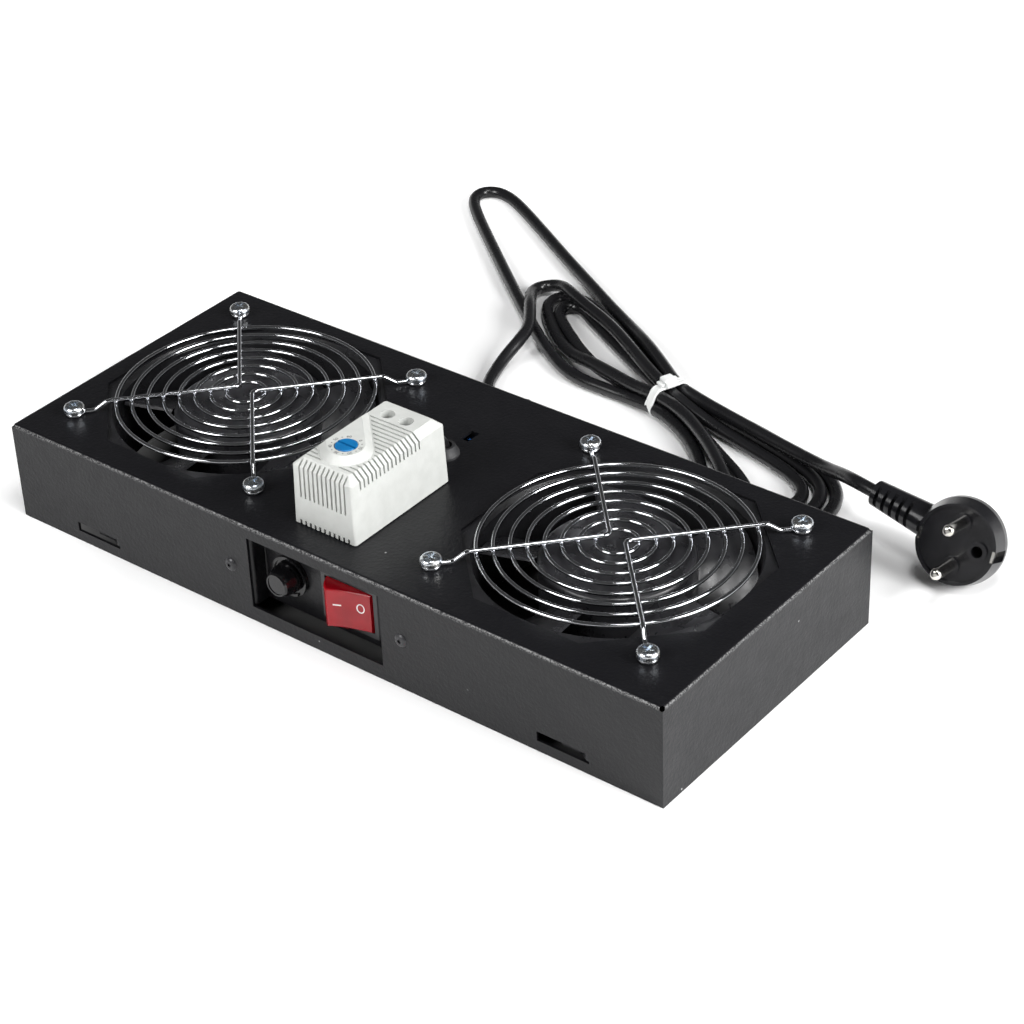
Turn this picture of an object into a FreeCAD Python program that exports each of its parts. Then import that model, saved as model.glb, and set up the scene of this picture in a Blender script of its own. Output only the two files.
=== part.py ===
import FreeCAD, Part

import math
import os

V = FreeCAD.Vector
X_AXIS, Y_AXIS, Z_AXIS = V(1, 0, 0), V(0, 1, 0), V(0, 0, 1)

# Fan tray for a wall-mounted rack: a folded steel pan with two mains fans under wire guards, a
# thermostat, a fused and switched front window, and a mains cord that leaves through the back.
# Millimetres. +X runs along the tray, the front wall faces -Y, +Z is up, and the origin is the
# middle of the tray's lower rim.

# ---------------------------------------------------------------- folded tray
tray_length = 344.0
tray_depth = 144.0
tray_height = 47.0
sheet = 1.2
bend_radius = 1.7           # outside of the folds round the top plate
corner_relief = 1.1         # radius of the relief hole where two folds meet

fan_pitch = 199.7
fan_shift_x = -2.4          # the pair sits a little left of and behind the tray's middle
fan_shift_y = 2.0
cutout_across = 119.0       # octagonal air cut-outs
cutout_chamfer = 34.0

window_width = 70.4
window_height = 34.0
window_bottom = 7.0

slot_pitch = 250.0          # hooking slots, low in the front and back walls
slot_length = 25.0
slot_height = 4.4
slot_bottom = 5.0
tongue_length = 14.5
tongue_depth = 2.2
tongue_gap = 1.2            # open strip under the tongue

# ---------------------------------------------------------------- fans
fan_side = 119.5
fan_height = 38.0
fan_hole_pitch = 105.0
fan_hole_radius = 2.25
fan_corner_radius = 5.0
fan_flange = 4.5
fan_duct_radius = 57.4
fan_barrel_wall = 2.4
duct_lip = 1.2              # bell-mouth chamfer at both ends of the duct
motor_base_radius = 31.0
motor_base = 3.5
strut_count = 4
strut_width = 6.5
bearing_tube_wall = 2.0
bearing_radius = 5.5
bearing_height = 5.0
bearing_tube_height = 19.5
shaft_radius = 1.6
shaft_clearance = 0.03
stator_radius = 25.0
stator_height = 11.0
stator_lift = 6.0           # stator above the motor base
coil_overhang = 2.6
pole_count = 4
hub_radius = 32.0
hub_wall = 1.8
hub_gap = 1.6               # hub skirt above the motor base
hub_edge = 2.4              # rounding of the hub's top edge
rotor_drop = 1.2            # hub top below the fan's top face
cup_wall = 1.5
blade_count = 5
blade_phase = 42.0          # degrees from +X to the middle of the first blade
blade_tip_gap = 1.5
blade_root_chord = 36.0
blade_tip_chord = 52.0
blade_thickness = 1.9
blade_camber = 3.4
blade_root_pitch = 36.0     # degrees between the chord and the plane of rotation
blade_tip_pitch = 27.0
blade_root_embed = 1.2
blade_shape_stations = 3
spade_width = 2.8
spade_thickness = 0.5
spade_length = 7.0
spade_spread = 3.0

# ---------------------------------------------------------------- wire guards
ring_count = 8
ring_first = 8.6            # radius of the smallest ring
ring_step = 6.8
ring_wire = 0.9             # wire radii
spoke_wire = 1.0
ring_lift = 3.1             # ring wire's centre above the plate
weld_sink = 0.15
spoke_corner = 3.6          # where a spoke wire turns, from the guard's centre
spoke_bend = 3.0
joggle_start = 59.8         # the spoke steps down to the plate between these radii
joggle_end = 65.4
joggle_bend = 4.0
eyelet_radius = 3.25        # centre line of the loop round the screw

# ---------------------------------------------------------------- guard screws
screw_shank = 1.95
screw_length = 16.0
screw_head_radius = 4.6
screw_head_height = 3.0
recess_width = 1.1
recess_span = 5.0
recess_depth = 1.7
washer_radius = 4.4
washer_height = 0.8
nut_across = 7.0
nut_height = 3.2

# ---------------------------------------------------------------- switch bracket
bracket_recess = 9.0        # panel face behind the front wall's outer face
bracket_width = 70.8        # between the outsides of the two side walls
bracket_height = 33.6
bracket_flange = 17.0
bracket_bend = 1.8          # outside radius
rivet_pitch = 91.2
rivet_hole_radius = 1.65
rivet_head_radius = 3.1
rivet_head_height = 1.1
rivet_pin_radius = 0.9
rivet_tail_radius = 2.4
rivet_tail_height = 1.4

# ---------------------------------------------------------------- rocker switch
rocker_x = 13.2
bezel_width = 31.0
bezel_height = 25.4
bezel_thickness = 2.2
bezel_radius = 1.6
switch_body_width = 27.8
switch_body_height = 21.8
switch_body_depth = 18.0
switch_cutout_gap = 0.2
rocker_half_length = 9.5    # paddle corners from the pivot, along and in front of it
rocker_rise = 8.0
rocker_pivot_depth = 3.6    # pivot behind the bezel's face
rocker_gap = 0.3
rocker_half_height = 9.2
rocker_tilt = 20.0          # degrees from the middle position
rocker_skirt_angle = 98.0
rocker_wall = 1.4
rocker_dish = 0.7           # sag of the paddle's hollow face
rocker_edge = 0.8
trunnion_radius = 1.5
trunnion_length = 1.1
trunnion_clearance = 0.05
pocket_spare = 0.8
lamp_radius = 2.2
lamp_length = 11.0
lamp_leg = 0.45
blade_terminal_width = 6.3
blade_terminal_thickness = 0.8
blade_terminal_length = 9.0
terminal_spread_x = 8.6
terminal_spread_z = 6.0

# ---------------------------------------------------------------- fuse holder
fuse_x = -20.0
fuse_flange_radius = 9.2
fuse_flange_thickness = 2.0
fuse_flange_rim = 1.1       # raised rim round the flange
fuse_thread_radius = 6.0
fuse_body_depth = 31.0
fuse_notch = 2.6
fuse_nut_across = 15.0
fuse_nut_height = 3.0
cap_radius = 7.0
cap_tip_radius = 5.0
cap_length = 7.9            # in front of the flange
cap_groove = 0.5
stem_radius = 4.4
stem_length = 12.0
stem_clearance = 0.08
link_radius = 2.6
link_length = 20.0
link_cap_length = 5.2
link_glass_radius = 2.45
link_clearance = 0.05
link_start = 1.5            # front end of the fuse behind the flange's face
side_tab_x = -28.2          # contact blade beside the barrel
side_tab_setback = 16.0     # behind the panel
side_tab_length = 12.0

# ---------------------------------------------------------------- thermostat
thermostat_x = -4.2
thermostat_y = -28.3
thermostat_width = 32.6
thermostat_depth = 59.0
thermostat_height = 31.0    # cover's flat top above the plate
cover_draft = 0.7           # each side leans in by this much at the top
cover_wall = 1.8
cover_lift = 0.5            # shadow gap over the plate
cover_corner = 1.2
cover_edge = 3.2            # bevel round the top
plateau_rise = 3.0
plateau_radius = 7.8        # at its top, round the dial
plateau_skirt = 3.0         # how far its sloping wall reaches out
dial_offset_y = -13.1       # dial from the housing's middle
dial_radius = 4.7
dial_well_gap = 0.25
dial_height = 2.6
dial_well_depth = 2.2
dial_slot_width = 1.1
dial_slot_depth = 0.8
dial_stem_radius = 2.0
vent_width = 0.9
vent_depth = 1.4
vent_pitch = 2.43
front_vent_count = 11
front_vent_pitch = 2.36
vent_foot = 24.0            # vents end this far above the plate on the long side
front_vent_foot = 13.4
notch_width = 1.1
notch_height = 2.0
notch_pitch = 2.54
screw_well_radius = 3.2
screw_well_spread = 9.8
well_wall = 0.9
well_depth = 6.4             # tubes run down from the cover's top to just over the terminal block
screw_well_y = 18.0         # from the housing's middle
terminal_screw_radius = 2.4
base_height = 13.0
base_floor = 2.0
base_gap = 0.3
latch_window_width = 18.0
latch_window_inset = 12.0   # from the cover's two ends
latch_foot = 3.0
latch_thickness = 1.0
lead_socket_depth = 8.0

# ---------------------------------------------------------------- grommet, earth tab, gland
grommet_x, grommet_y = -3.0, 16.5
grommet_hole_radius = 5.4
grommet_bore_radius = 3.4
grommet_flange_radius = 6.5
grommet_top_radius = 4.6
grommet_rise = 4.6
grommet_tail = 2.0
tab_x, tab_y = -3.0, 33.5
tab_width = 6.3
tab_window_length = 7.6
tab_window_width = 4.2
tab_drop = 9.0
tab_thickness = 0.8

gland_x = -28.0
gland_z = 20.0
gland_hole_radius = 6.2
gland_flange_radius = 8.4
gland_flange_thickness = 3.0
gland_inner_length = 7.0
gland_sleeve_length = 22.0
gland_sleeve_tip_radius = 4.3

# ---------------------------------------------------------------- leads inside the tray
core_radius = 1.2
lead_thermostat_radius = 2.4
lead_exit_height = 9.5      # thermostat lead above the plate
lead_bend = 6.5
drop_end = 33.0             # its sheath ends at this height under the plate
sheath_end = 34.0           # the cord's sheath ends this far behind the tray's middle
sleeve_clearance = 0.05
wide_sleeve_cover = 6.0
wide_sleeve_length = 12.0
wide_sleeve_width = 8.2
wide_sleeve_height = 3.6
narrow_sleeve_cover = 4.0
narrow_sleeve_length = 9.0
narrow_sleeve_width = 5.2
narrow_sleeve_height = 2.8

# ---------------------------------------------------------------- cord
cord_radius = 3.0
cord_bore_clearance = 0.05
hank_height = 11.5
tie_x = 9.0
tie_front = 149.8           # the bundle's waist
tie_back = 174.2
tie_band_width = 4.8
tie_band_thickness = 1.2
tie_clearance = 0.1
tie_head_y = 163.0
tie_head_length = 8.4
tie_head_width = 7.2
tie_head_height = 5.4
tie_tail_length = 4.0

# ---------------------------------------------------------------- plug (16 A, earthed, two round pins)
plug_face_x, plug_face_y, plug_face_z = 187.1, 113.0, 21.6
plug_turn = 10.2            # degrees that the pins point away from -Y, towards +X
plug_lift = 21.1            # degrees that they point upwards
plug_roll = 5.7
plug_face_radius = 17.2
plug_radius = 18.8
plug_back_radius = 15.2
plug_thickness = 17.0
plug_shoulder = 8.0         # widest section behind the face
plug_rim = 1.2
plug_pin_pitch = 19.0
plug_pin_radius = 2.4
plug_pin_length = 19.0
plug_collar_radius = 4.0
plug_collar_height = 1.2
earth_socket_offset = 9.4
earth_socket_radius = 2.5
earth_socket_depth = 12.0
earth_boss_radius = 4.2
clip_width = 5.0
clip_thickness = 1.0
clip_length = 9.0
clip_recess = 1.6
grip_back = 10.5             # grip's axis behind the face
grip_tilt = 13.0            # degrees that the grip leans back from the face's plane
grip_yaw = 5.2
grip_reach = 45.0           # from the body's axis to the cord
grip_root_radius = 8.6
grip_tip_radius = 5.7
grip_slot_count = 5
grip_slot_width = 1.8
grip_slot_pitch = 4.2

front = -tray_depth / 2
back = tray_depth / 2
plate_under = tray_height - sheet
fan_top = plate_under
fan_bottom = fan_top - fan_height
window_middle = window_bottom + window_height / 2
slot_top = slot_bottom + slot_height
latch_window_depth = thermostat_depth - 2 * latch_window_inset
panel_face = front + bracket_recess
side_tab_start = panel_face + side_tab_setback
fan_x = {"left": fan_shift_x - fan_pitch / 2, "right": fan_shift_x + fan_pitch / 2}


# ================================================================ helpers
def box(x0, y0, z0, x1, y1, z1):
    return Part.makeBox(x1 - x0, y1 - y0, z1 - z0, V(x0, y0, z0))


def cylinder(radius, start, end):
    """A round bar from one point to another."""
    axis = end - start
    return Part.makeCylinder(radius, axis.Length, start, axis)


def cone(radius_1, radius_2, start, end):
    axis = end - start
    return Part.makeCone(radius_1, radius_2, axis.Length, start, axis)


def pipe(outer, inner, start, end):
    return cylinder(outer, start, end).cut(cylinder(inner, start, end))


def polygon_prism(points, height):
    """Closed straight-sided outline, extruded along the given vector."""
    return Part.Face(Part.makePolygon(points + points[:1])).extrude(height)


def hexagon_nut(across, height, hole, centre, axis):
    corner = across / math.sqrt(3)
    points = []
    for i in range(6):
        angle = math.radians(60 * i + 30)
        points.append(V(corner * math.cos(angle), corner * math.sin(angle), 0))
    nut = polygon_prism(points, V(0, 0, height))
    dome = Part.makeCone(corner + height, corner - 0.55, height + 0.55, V(0, 0, 0), Z_AXIS)
    nut = nut.common(dome)
    nut = nut.cut(Part.makeCylinder(hole, height, V(0, 0, 0), Z_AXIS))
    nut.Placement = FreeCAD.Placement(centre, FreeCAD.Rotation(Z_AXIS, axis))
    return nut


def edges_at(shape, test):
    """Edges whose two ends both pass the test."""
    return [e for e in shape.Edges if all(test(v.Point) for v in e.Vertexes)]


def upright_edges(shape):
    found = []
    for edge in shape.Edges:
        if len(edge.Vertexes) == 2:
            run = edge.Vertexes[1].Point - edge.Vertexes[0].Point
            if abs(run.z) > 1e-6 and abs(run.x) < 1e-6 and abs(run.y) < 1e-6:
                found.append(edge)
    return found


def rounded_box(x0, y0, z0, x1, y1, z1, radius):
    """A box with its upright edges rounded."""
    solid = box(x0, y0, z0, x1, y1, z1)
    return solid.makeFillet(radius, upright_edges(solid))


def rounded_path(points, radii):
    """Straight runs joined by tangent arcs. radii holds one radius for each inner point."""
    edges = []
    start = points[0]
    for i in range(1, len(points) - 1):
        corner = points[i]
        to_last = (points[i - 1] - corner).normalize()
        to_next = (points[i + 1] - corner).normalize()
        turn = math.pi - to_last.getAngle(to_next)
        setback = radii[i - 1] * math.tan(turn / 2)
        arc_start = corner + to_last * setback
        arc_end = corner + to_next * setback
        bisector = (to_last + to_next).normalize()
        centre = corner + bisector * (radii[i - 1] / math.cos(turn / 2))
        arc_middle = centre - bisector * radii[i - 1]
        if (arc_start - start).Length > 1e-6:
            edges.append(Part.LineSegment(start, arc_start).toShape())
        edges.append(Part.Arc(arc_start, arc_middle, arc_end).toShape())
        start = arc_end
    edges.append(Part.LineSegment(start, points[-1]).toShape())
    return Part.Wire(edges)


def free_radii(points):
    """The largest arc that the two runs at each inner point leave room for."""
    radii = []
    for i in range(1, len(points) - 1):
        run_in = points[i] - points[i - 1]
        run_out = points[i + 1] - points[i]
        turn = run_in.getAngle(run_out)
        radii.append(0.45 * min(run_in.Length, run_out.Length) / math.tan(turn / 2))
    return radii


def swept_round(path, radius):
    """A round section swept along a path."""
    first = path.Edges[0]
    start = first.valueAt(first.FirstParameter)
    direction = first.tangentAt(first.FirstParameter)
    circle = Part.Wire(Part.makeCircle(radius, start, direction))
    solid = Part.Wire(path.Edges).makePipeShell([circle], True, True)
    return solid


def swept_strip(points, radii, thickness, z0, z1):
    """A strip of sheet standing on edge, folded along a path in plan."""
    path = rounded_path([V(x, y, z0) for x, y in points], radii)
    first = path.Edges[0]
    start = first.valueAt(first.FirstParameter)
    along = first.tangentAt(first.FirstParameter)
    side = V(-along.y, along.x, 0) * (thickness / 2)
    rise = V(0, 0, z1 - z0)
    corners = [start + side, start - side, start - side + rise, start + side + rise]
    section = Part.makePolygon(corners + corners[:1])
    return path.makePipeShell([section], True, True)


def group(solids):
    return Part.makeCompound(solids)


def guard_screw_places():
    places = []
    half = fan_hole_pitch / 2
    for side in ("left", "right"):
        for dx in (-half, half):
            for dy in (-half, half):
                places.append((fan_x[side] + dx, fan_shift_y + dy))
    return places


# ================================================================ tray
def octagon_prism(centre_x, z0, z1):
    half = cutout_across / 2
    flat = half - cutout_chamfer
    outline = [(half, -flat), (half, flat), (flat, half), (-flat, half)]
    outline += [(-half, flat), (-half, -flat), (-flat, -half), (flat, -half)]
    points = [V(centre_x + x, fan_shift_y + y, z0) for x, y in outline]
    return polygon_prism(points, V(0, 0, z1 - z0))


def folded_pan():
    """Top plate with four walls folded down and welded at the corners."""
    outer = box(-tray_length / 2, front, 0, tray_length / 2, back, tray_height)
    outer = outer.makeFillet(bend_radius, edges_at(outer, lambda p: p.z > tray_height - 0.01))
    inner = box(-tray_length / 2 + sheet, front + sheet, -sheet,
                tray_length / 2 - sheet, back - sheet, plate_under)
    inner = inner.makeFillet(bend_radius - sheet, edges_at(inner, lambda p: p.z > plate_under - 0.01))
    return outer.cut(inner)


def corner_reliefs():
    cuts = []
    for sx in (-1, 1):
        for sy in (-1, 1):
            corner = V(sx * tray_length / 2, sy * tray_depth / 2, tray_height)
            inward = V(-sx, -sy, -1).normalize()
            cuts.append(cylinder(corner_relief, corner - inward, corner + inward * (4 * sheet)))
    return cuts


def lanced_slot(centre_x):
    """Square-ended opening in the front wall, where a tongue is pressed in."""
    return box(centre_x - slot_length / 2, front - sheet, slot_bottom,
               centre_x + slot_length / 2, front + 2 * sheet, slot_top)


def screw_slot(centre_x):
    """Round-ended slot through the back wall."""
    cutter = box(centre_x - slot_length / 2, back - 2 * sheet, slot_bottom,
                 centre_x + slot_length / 2, back + sheet, slot_top)
    across = [e for e in cutter.Edges if e.BoundBox.YLength > sheet]
    return cutter.makeFillet(slot_height / 2 - 0.0005, across)


def slot_tongue(centre_x):
    """Tongue lanced from the slot's right end and pressed in behind the front wall."""
    middle = front + sheet / 2
    end = centre_x + slot_length / 2
    points = [(end + sheet, middle), (end - sheet, middle), (end - 4 * sheet, middle + tongue_depth),
              (end - tongue_length, middle + tongue_depth)]
    strip = swept_strip(points, [2.2, 2.6], sheet, slot_bottom + tongue_gap, slot_top)
    return strip


def earth_tab():
    """Spade tab lanced from the plate and folded down from the window's back edge."""
    hinge_y = tab_y + tab_window_length / 2
    return box(tab_x - tab_width / 2, hinge_y, plate_under - tab_drop,
               tab_x + tab_width / 2, hinge_y + tab_thickness, plate_under)


def tray_chassis():
    pan = folded_pan()
    cuts = corner_reliefs()
    for side in ("left", "right"):
        cuts.append(octagon_prism(fan_x[side], plate_under - sheet, tray_height + sheet))
    for x, y in guard_screw_places():
        cuts.append(cylinder(fan_hole_radius, V(x, y, plate_under - sheet), V(x, y, tray_height + sheet)))
    cuts.append(box(-window_width / 2, front - sheet, window_bottom,
                    window_width / 2, front + 2 * sheet, window_bottom + window_height))
    for centre_x in (-slot_pitch / 2, slot_pitch / 2):
        cuts.append(lanced_slot(centre_x))
        cuts.append(screw_slot(centre_x))
    for x in (-rivet_pitch / 2, rivet_pitch / 2):
        cuts.append(cylinder(rivet_hole_radius, V(x, front - sheet, window_middle),
                             V(x, front + 2 * sheet, window_middle)))
    cuts.append(box(thermostat_x - latch_window_width / 2, thermostat_y - latch_window_depth / 2,
                    plate_under - sheet, thermostat_x + latch_window_width / 2,
                    thermostat_y + latch_window_depth / 2, tray_height + sheet))
    cuts.append(cylinder(grommet_hole_radius, V(grommet_x, grommet_y, plate_under - sheet),
                         V(grommet_x, grommet_y, tray_height + sheet)))
    cuts.append(box(tab_x - tab_window_width / 2, tab_y - tab_window_length / 2, plate_under - sheet,
                    tab_x + tab_window_width / 2, tab_y + tab_window_length / 2, tray_height + sheet))
    cuts.append(cylinder(gland_hole_radius, V(gland_x, back - 2 * sheet, gland_z),
                         V(gland_x, back + sheet, gland_z)))
    pan = pan.cut(cuts)
    additions = [slot_tongue(-slot_pitch / 2), slot_tongue(slot_pitch / 2), earth_tab()]
    return pan.fuse(additions).removeSplitter()


def switch_bracket():
    """Hat-shaped bracket: flanges on the front wall's inside, panel set back behind the window."""
    half = (bracket_width - sheet) / 2
    flange_y = front + 1.5 * sheet
    panel_y = panel_face + sheet / 2
    end = half + bracket_flange
    points = [(-end, flange_y), (-half, flange_y), (-half, panel_y),
              (half, panel_y), (half, flange_y), (end, flange_y)]
    centre_bend = bracket_bend - sheet / 2
    z0 = window_middle - bracket_height / 2
    strip = swept_strip(points, [centre_bend] * 4, sheet, z0, z0 + bracket_height)
    half_w = switch_body_width / 2 + switch_cutout_gap
    half_h = switch_body_height / 2 + switch_cutout_gap
    cuts = [box(rocker_x - half_w, panel_face - sheet, window_middle - half_h,
                rocker_x + half_w, panel_face + 2 * sheet, window_middle + half_h)]
    cuts.append(cylinder(fuse_thread_radius, V(fuse_x, panel_face - sheet, window_middle),
                         V(fuse_x, panel_face + 2 * sheet, window_middle)))
    for x in (-rivet_pitch / 2, rivet_pitch / 2):
        cuts.append(cylinder(rivet_hole_radius, V(x, front, window_middle),
                             V(x, front + 3 * sheet, window_middle)))
    return strip.cut(cuts)


def blind_rivet(x):
    """Domed head outside, barrel through both sheets, upset tail inside, broken pin in the bore."""
    outline = [V(rivet_pin_radius, 0, -0.4), V(rivet_pin_radius, 0, -rivet_head_height)]
    crown = Part.Arc(outline[1], V(rivet_head_radius * 0.75, 0, -0.72 * rivet_head_height),
                     V(rivet_head_radius, 0, 0)).toShape()
    grip = 2 * sheet
    rest = [V(rivet_head_radius, 0, 0), V(rivet_hole_radius, 0, 0), V(rivet_hole_radius, 0, grip),
            V(rivet_tail_radius, 0, grip), V(rivet_tail_radius - 0.6, 0, grip + rivet_tail_height),
            V(0, 0, grip + rivet_tail_height), V(0, 0, -0.4), V(rivet_pin_radius, 0, -0.4)]
    edges = [Part.LineSegment(outline[0], outline[1]).toShape(), crown]
    for a, b in zip(rest, rest[1:]):
        edges.append(Part.LineSegment(a, b).toShape())
    rivet = Part.Face(Part.Wire(edges)).revolve(V(0, 0, 0), Z_AXIS, 360)
    rivet.Placement = FreeCAD.Placement(V(x, front, window_middle), FreeCAD.Rotation(Z_AXIS, Y_AXIS))
    return rivet


# ================================================================ fans
def fan_frame(side):
    """Die-cast square frame: two flanges, a round barrel between them, struts and a motor base."""
    cx, cy = fan_x[side], fan_shift_y
    half = fan_side / 2
    block = rounded_box(cx - half, cy - half, fan_bottom, cx + half, cy + half, fan_top,
                        fan_corner_radius)
    barrel_radius = fan_duct_radius + fan_barrel_wall
    waist_bottom, waist_top = fan_bottom + fan_flange, fan_top - fan_flange
    waist = box(cx - half, cy - half, waist_bottom, cx + half, cy + half, waist_top)
    waist = waist.cut(cylinder(barrel_radius, V(cx, cy, waist_bottom), V(cx, cy, waist_top)))
    frame = block.cut(waist)
    frame = frame.cut(cylinder(fan_duct_radius, V(cx, cy, fan_bottom), V(cx, cy, fan_top)))
    for z, inward in ((fan_bottom, 1), (fan_top, -1)):
        lip = cone(fan_duct_radius + duct_lip, fan_duct_radius, V(cx, cy, z),
                   V(cx, cy, z + inward * 2 * duct_lip))
        frame = frame.cut(lip)
    frame = frame.fuse(motor_mount(cx, cy))
    hole = fan_hole_pitch / 2
    for dx in (-hole, hole):
        for dy in (-hole, hole):
            frame = frame.cut(cylinder(fan_hole_radius, V(cx + dx, cy + dy, fan_bottom),
                                       V(cx + dx, cy + dy, fan_top)))
    return frame.removeSplitter()


def motor_mount(cx, cy):
    """Motor base and bearing tube, carried by struts across the duct's lower end."""
    base_top = fan_bottom + motor_base
    parts = [cylinder(motor_base_radius, V(cx, cy, fan_bottom), V(cx, cy, base_top))]
    for i in range(strut_count):
        strut = box(motor_base_radius - 2, -strut_width / 2, 0,
                    fan_duct_radius + fan_barrel_wall / 2, strut_width / 2, motor_base)
        strut = strut.makeChamfer(1.0, edges_at(strut, lambda p: p.z > motor_base - 0.01)[:2])
        strut.Placement = FreeCAD.Placement(V(cx, cy, fan_bottom),
                                            FreeCAD.Rotation(Z_AXIS, 360 * (i + 0.5) / strut_count))
        parts.append(strut)
    tube = cylinder(bearing_radius + bearing_tube_wall, V(cx, cy, base_top),
                    V(cx, cy, base_top + bearing_tube_height))
    mount = parts[0].fuse(parts[1:] + [tube])
    bore = cylinder(bearing_radius, V(cx, cy, base_top), V(cx, cy, base_top + bearing_tube_height))
    return mount.cut(bore)


def bearing_levels():
    base_top = fan_bottom + motor_base
    return [base_top, base_top + bearing_tube_height - bearing_height]


def fan_bearings():
    rings = []
    for side in ("left", "right"):
        for z in bearing_levels():
            rings.append(pipe(bearing_radius, shaft_radius + shaft_clearance,
                              V(fan_x[side], fan_shift_y, z),
                              V(fan_x[side], fan_shift_y, z + bearing_height)))
    return group(rings)


def stator_bottom():
    return fan_bottom + motor_base + stator_lift


def pole_bars(cx, width, z0, z1, inner, outer):
    bars = []
    for i in range(pole_count):
        bar = box(inner, -width / 2, 0, outer, width / 2, z1 - z0)
        bar.Placement = FreeCAD.Placement(V(cx, fan_shift_y, z0),
                                          FreeCAD.Rotation(Z_AXIS, 360 * i / pole_count))
        bars.append(bar)
    return bars


def stator_core(side):
    """Laminated core: a hub ring on the bearing tube, straight poles and curved pole shoes."""
    cx, cy = fan_x[side], fan_shift_y
    z0 = stator_bottom()
    z1 = z0 + stator_height
    tube = bearing_radius + bearing_tube_wall
    hub = pipe(tube + 3.5, tube, V(cx, cy, z0), V(cx, cy, z1))
    bars = pole_bars(cx, 7.0, z0, z1, tube + 3, stator_radius - 1.5)
    shoes = pipe(stator_radius, stator_radius - 3.0, V(cx, cy, z0), V(cx, cy, z1))
    gaps = []
    for bar in pole_bars(cx, 4.5, z0, z1, stator_radius - 4, stator_radius + 1):
        bar.rotate(V(cx, cy, 0), Z_AXIS, 180 / pole_count)
        gaps.append(bar)
    return hub.fuse(bars + [shoes.cut(gaps)]).removeSplitter()


def stator_windings(side, core):
    """One coil on each pole, standing a little above and below the core."""
    cx, cy = fan_x[side], fan_shift_y
    z0 = stator_bottom() - coil_overhang
    z1 = stator_bottom() + stator_height + coil_overhang
    inner = bearing_radius + bearing_tube_wall + 4.2
    coils = pole_bars(cx, 13.0, z0, z1, inner, stator_radius - 3.6)
    limit = pipe(stator_radius - 3.4, inner + 2.2, V(cx, cy, z0), V(cx, cy, z1))
    return [coil.common(limit).cut(core) for coil in coils]


def rotor_span():
    """Lowest and highest z of the spinning hub."""
    return fan_bottom + motor_base + hub_gap, fan_top - rotor_drop


def blade(cx, cy):
    """One twisted, cambered blade, lofted through sections from hub to tip."""
    bottom, top = rotor_span()
    middle = (bottom + top) / 2
    root = hub_radius - blade_root_embed
    tip = fan_duct_radius - blade_tip_gap
    reach = tip + 1.5
    sections = []
    for i in range(blade_shape_stations):
        share = i / (blade_shape_stations - 1)
        radius = root + (reach - root) * share
        pitch = math.radians(blade_root_pitch + (blade_tip_pitch - blade_root_pitch) * share)
        chord = blade_root_chord + (blade_tip_chord - blade_root_chord) * share
        sections.append(blade_section(radius, chord, pitch, middle))
    solid = Part.makeLoft(sections, True, False)
    ring = pipe(tip, root, V(0, 0, bottom), V(0, 0, top - hub_edge))
    solid = solid.common(ring)
    solid.translate(V(cx, cy, 0))
    return solid


def blade_section(radius, chord, pitch, middle):
    """Thin cambered section in the plane that touches the cylinder of this radius."""
    half = chord / 2
    edge = blade_thickness * 0.35

    def place(along, across):
        y = along * math.cos(pitch) - across * math.sin(pitch)
        z = along * math.sin(pitch) + across * math.cos(pitch)
        return V(radius, y, middle + z)

    upper = Part.Arc(place(-half, edge), place(0, blade_camber + blade_thickness / 2),
                     place(half, edge)).toShape()
    lower = Part.Arc(place(half, -edge), place(0, blade_camber - blade_thickness / 2),
                     place(-half, -edge)).toShape()
    nose = Part.LineSegment(place(half, edge), place(half, -edge)).toShape()
    tail = Part.LineSegment(place(-half, -edge), place(-half, edge)).toShape()
    return Part.Wire([upper, nose, lower, tail])


def impeller(side):
    """Plastic hub with a skirt, closed on top, and the ring of blades moulded onto it."""
    cx, cy = fan_x[side], fan_shift_y
    bottom, top = rotor_span()
    hub = cylinder(hub_radius, V(cx, cy, bottom), V(cx, cy, top))
    hub = hub.makeFillet(hub_edge, [e for e in hub.Edges if e.BoundBox.ZMin > top - 0.01])
    inside = cylinder(hub_radius - hub_wall, V(cx, cy, bottom), V(cx, cy, top - hub_wall))
    hub = hub.cut(inside)
    blades = []
    for i in range(blade_count):
        one = blade(cx, cy)
        one.rotate(V(cx, cy, 0), Z_AXIS, 360 * i / blade_count + blade_phase)
        blades.append(one)
    return hub.fuse(blades).removeSplitter()


def rotor_cup(side):
    """Steel cup of the outer rotor, pressed into the hub, with a boss for the shaft."""
    cx, cy = fan_x[side], fan_shift_y
    bottom, top = rotor_span()
    outer = hub_radius - hub_wall
    roof = top - hub_wall
    shell = cylinder(outer, V(cx, cy, bottom + 1), V(cx, cy, roof))
    shell = shell.cut(cylinder(outer - cup_wall, V(cx, cy, bottom + 1), V(cx, cy, roof - cup_wall)))
    boss = cylinder(3 * shaft_radius, V(cx, cy, roof - 3.2), V(cx, cy, roof))
    seat = cylinder(shaft_radius, V(cx, cy, roof - 3.2), V(cx, cy, roof))
    return shell.fuse(boss).cut(seat).removeSplitter()


def rotor_shaft(side):
    cx, cy = fan_x[side], fan_shift_y
    top = rotor_span()[1] - hub_wall
    return cylinder(shaft_radius, V(cx, cy, fan_bottom + motor_base), V(cx, cy, top))


def fan_spades(side):
    """The two spade tabs that stand out of the frame's side, towards the middle of the tray."""
    inward = 1 if side == "left" else -1
    face = fan_x[side] + inward * fan_side / 2
    z = fan_bottom + fan_flange / 2
    tabs = []
    for dy in (-spade_spread, spade_spread):
        y = fan_shift_y + dy
        x0, x1 = sorted((face, face + inward * spade_length))
        tabs.append(box(x0, y - spade_width / 2, z - spade_thickness / 2,
                        x1, y + spade_width / 2, z + spade_thickness / 2))
    return tabs


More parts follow.
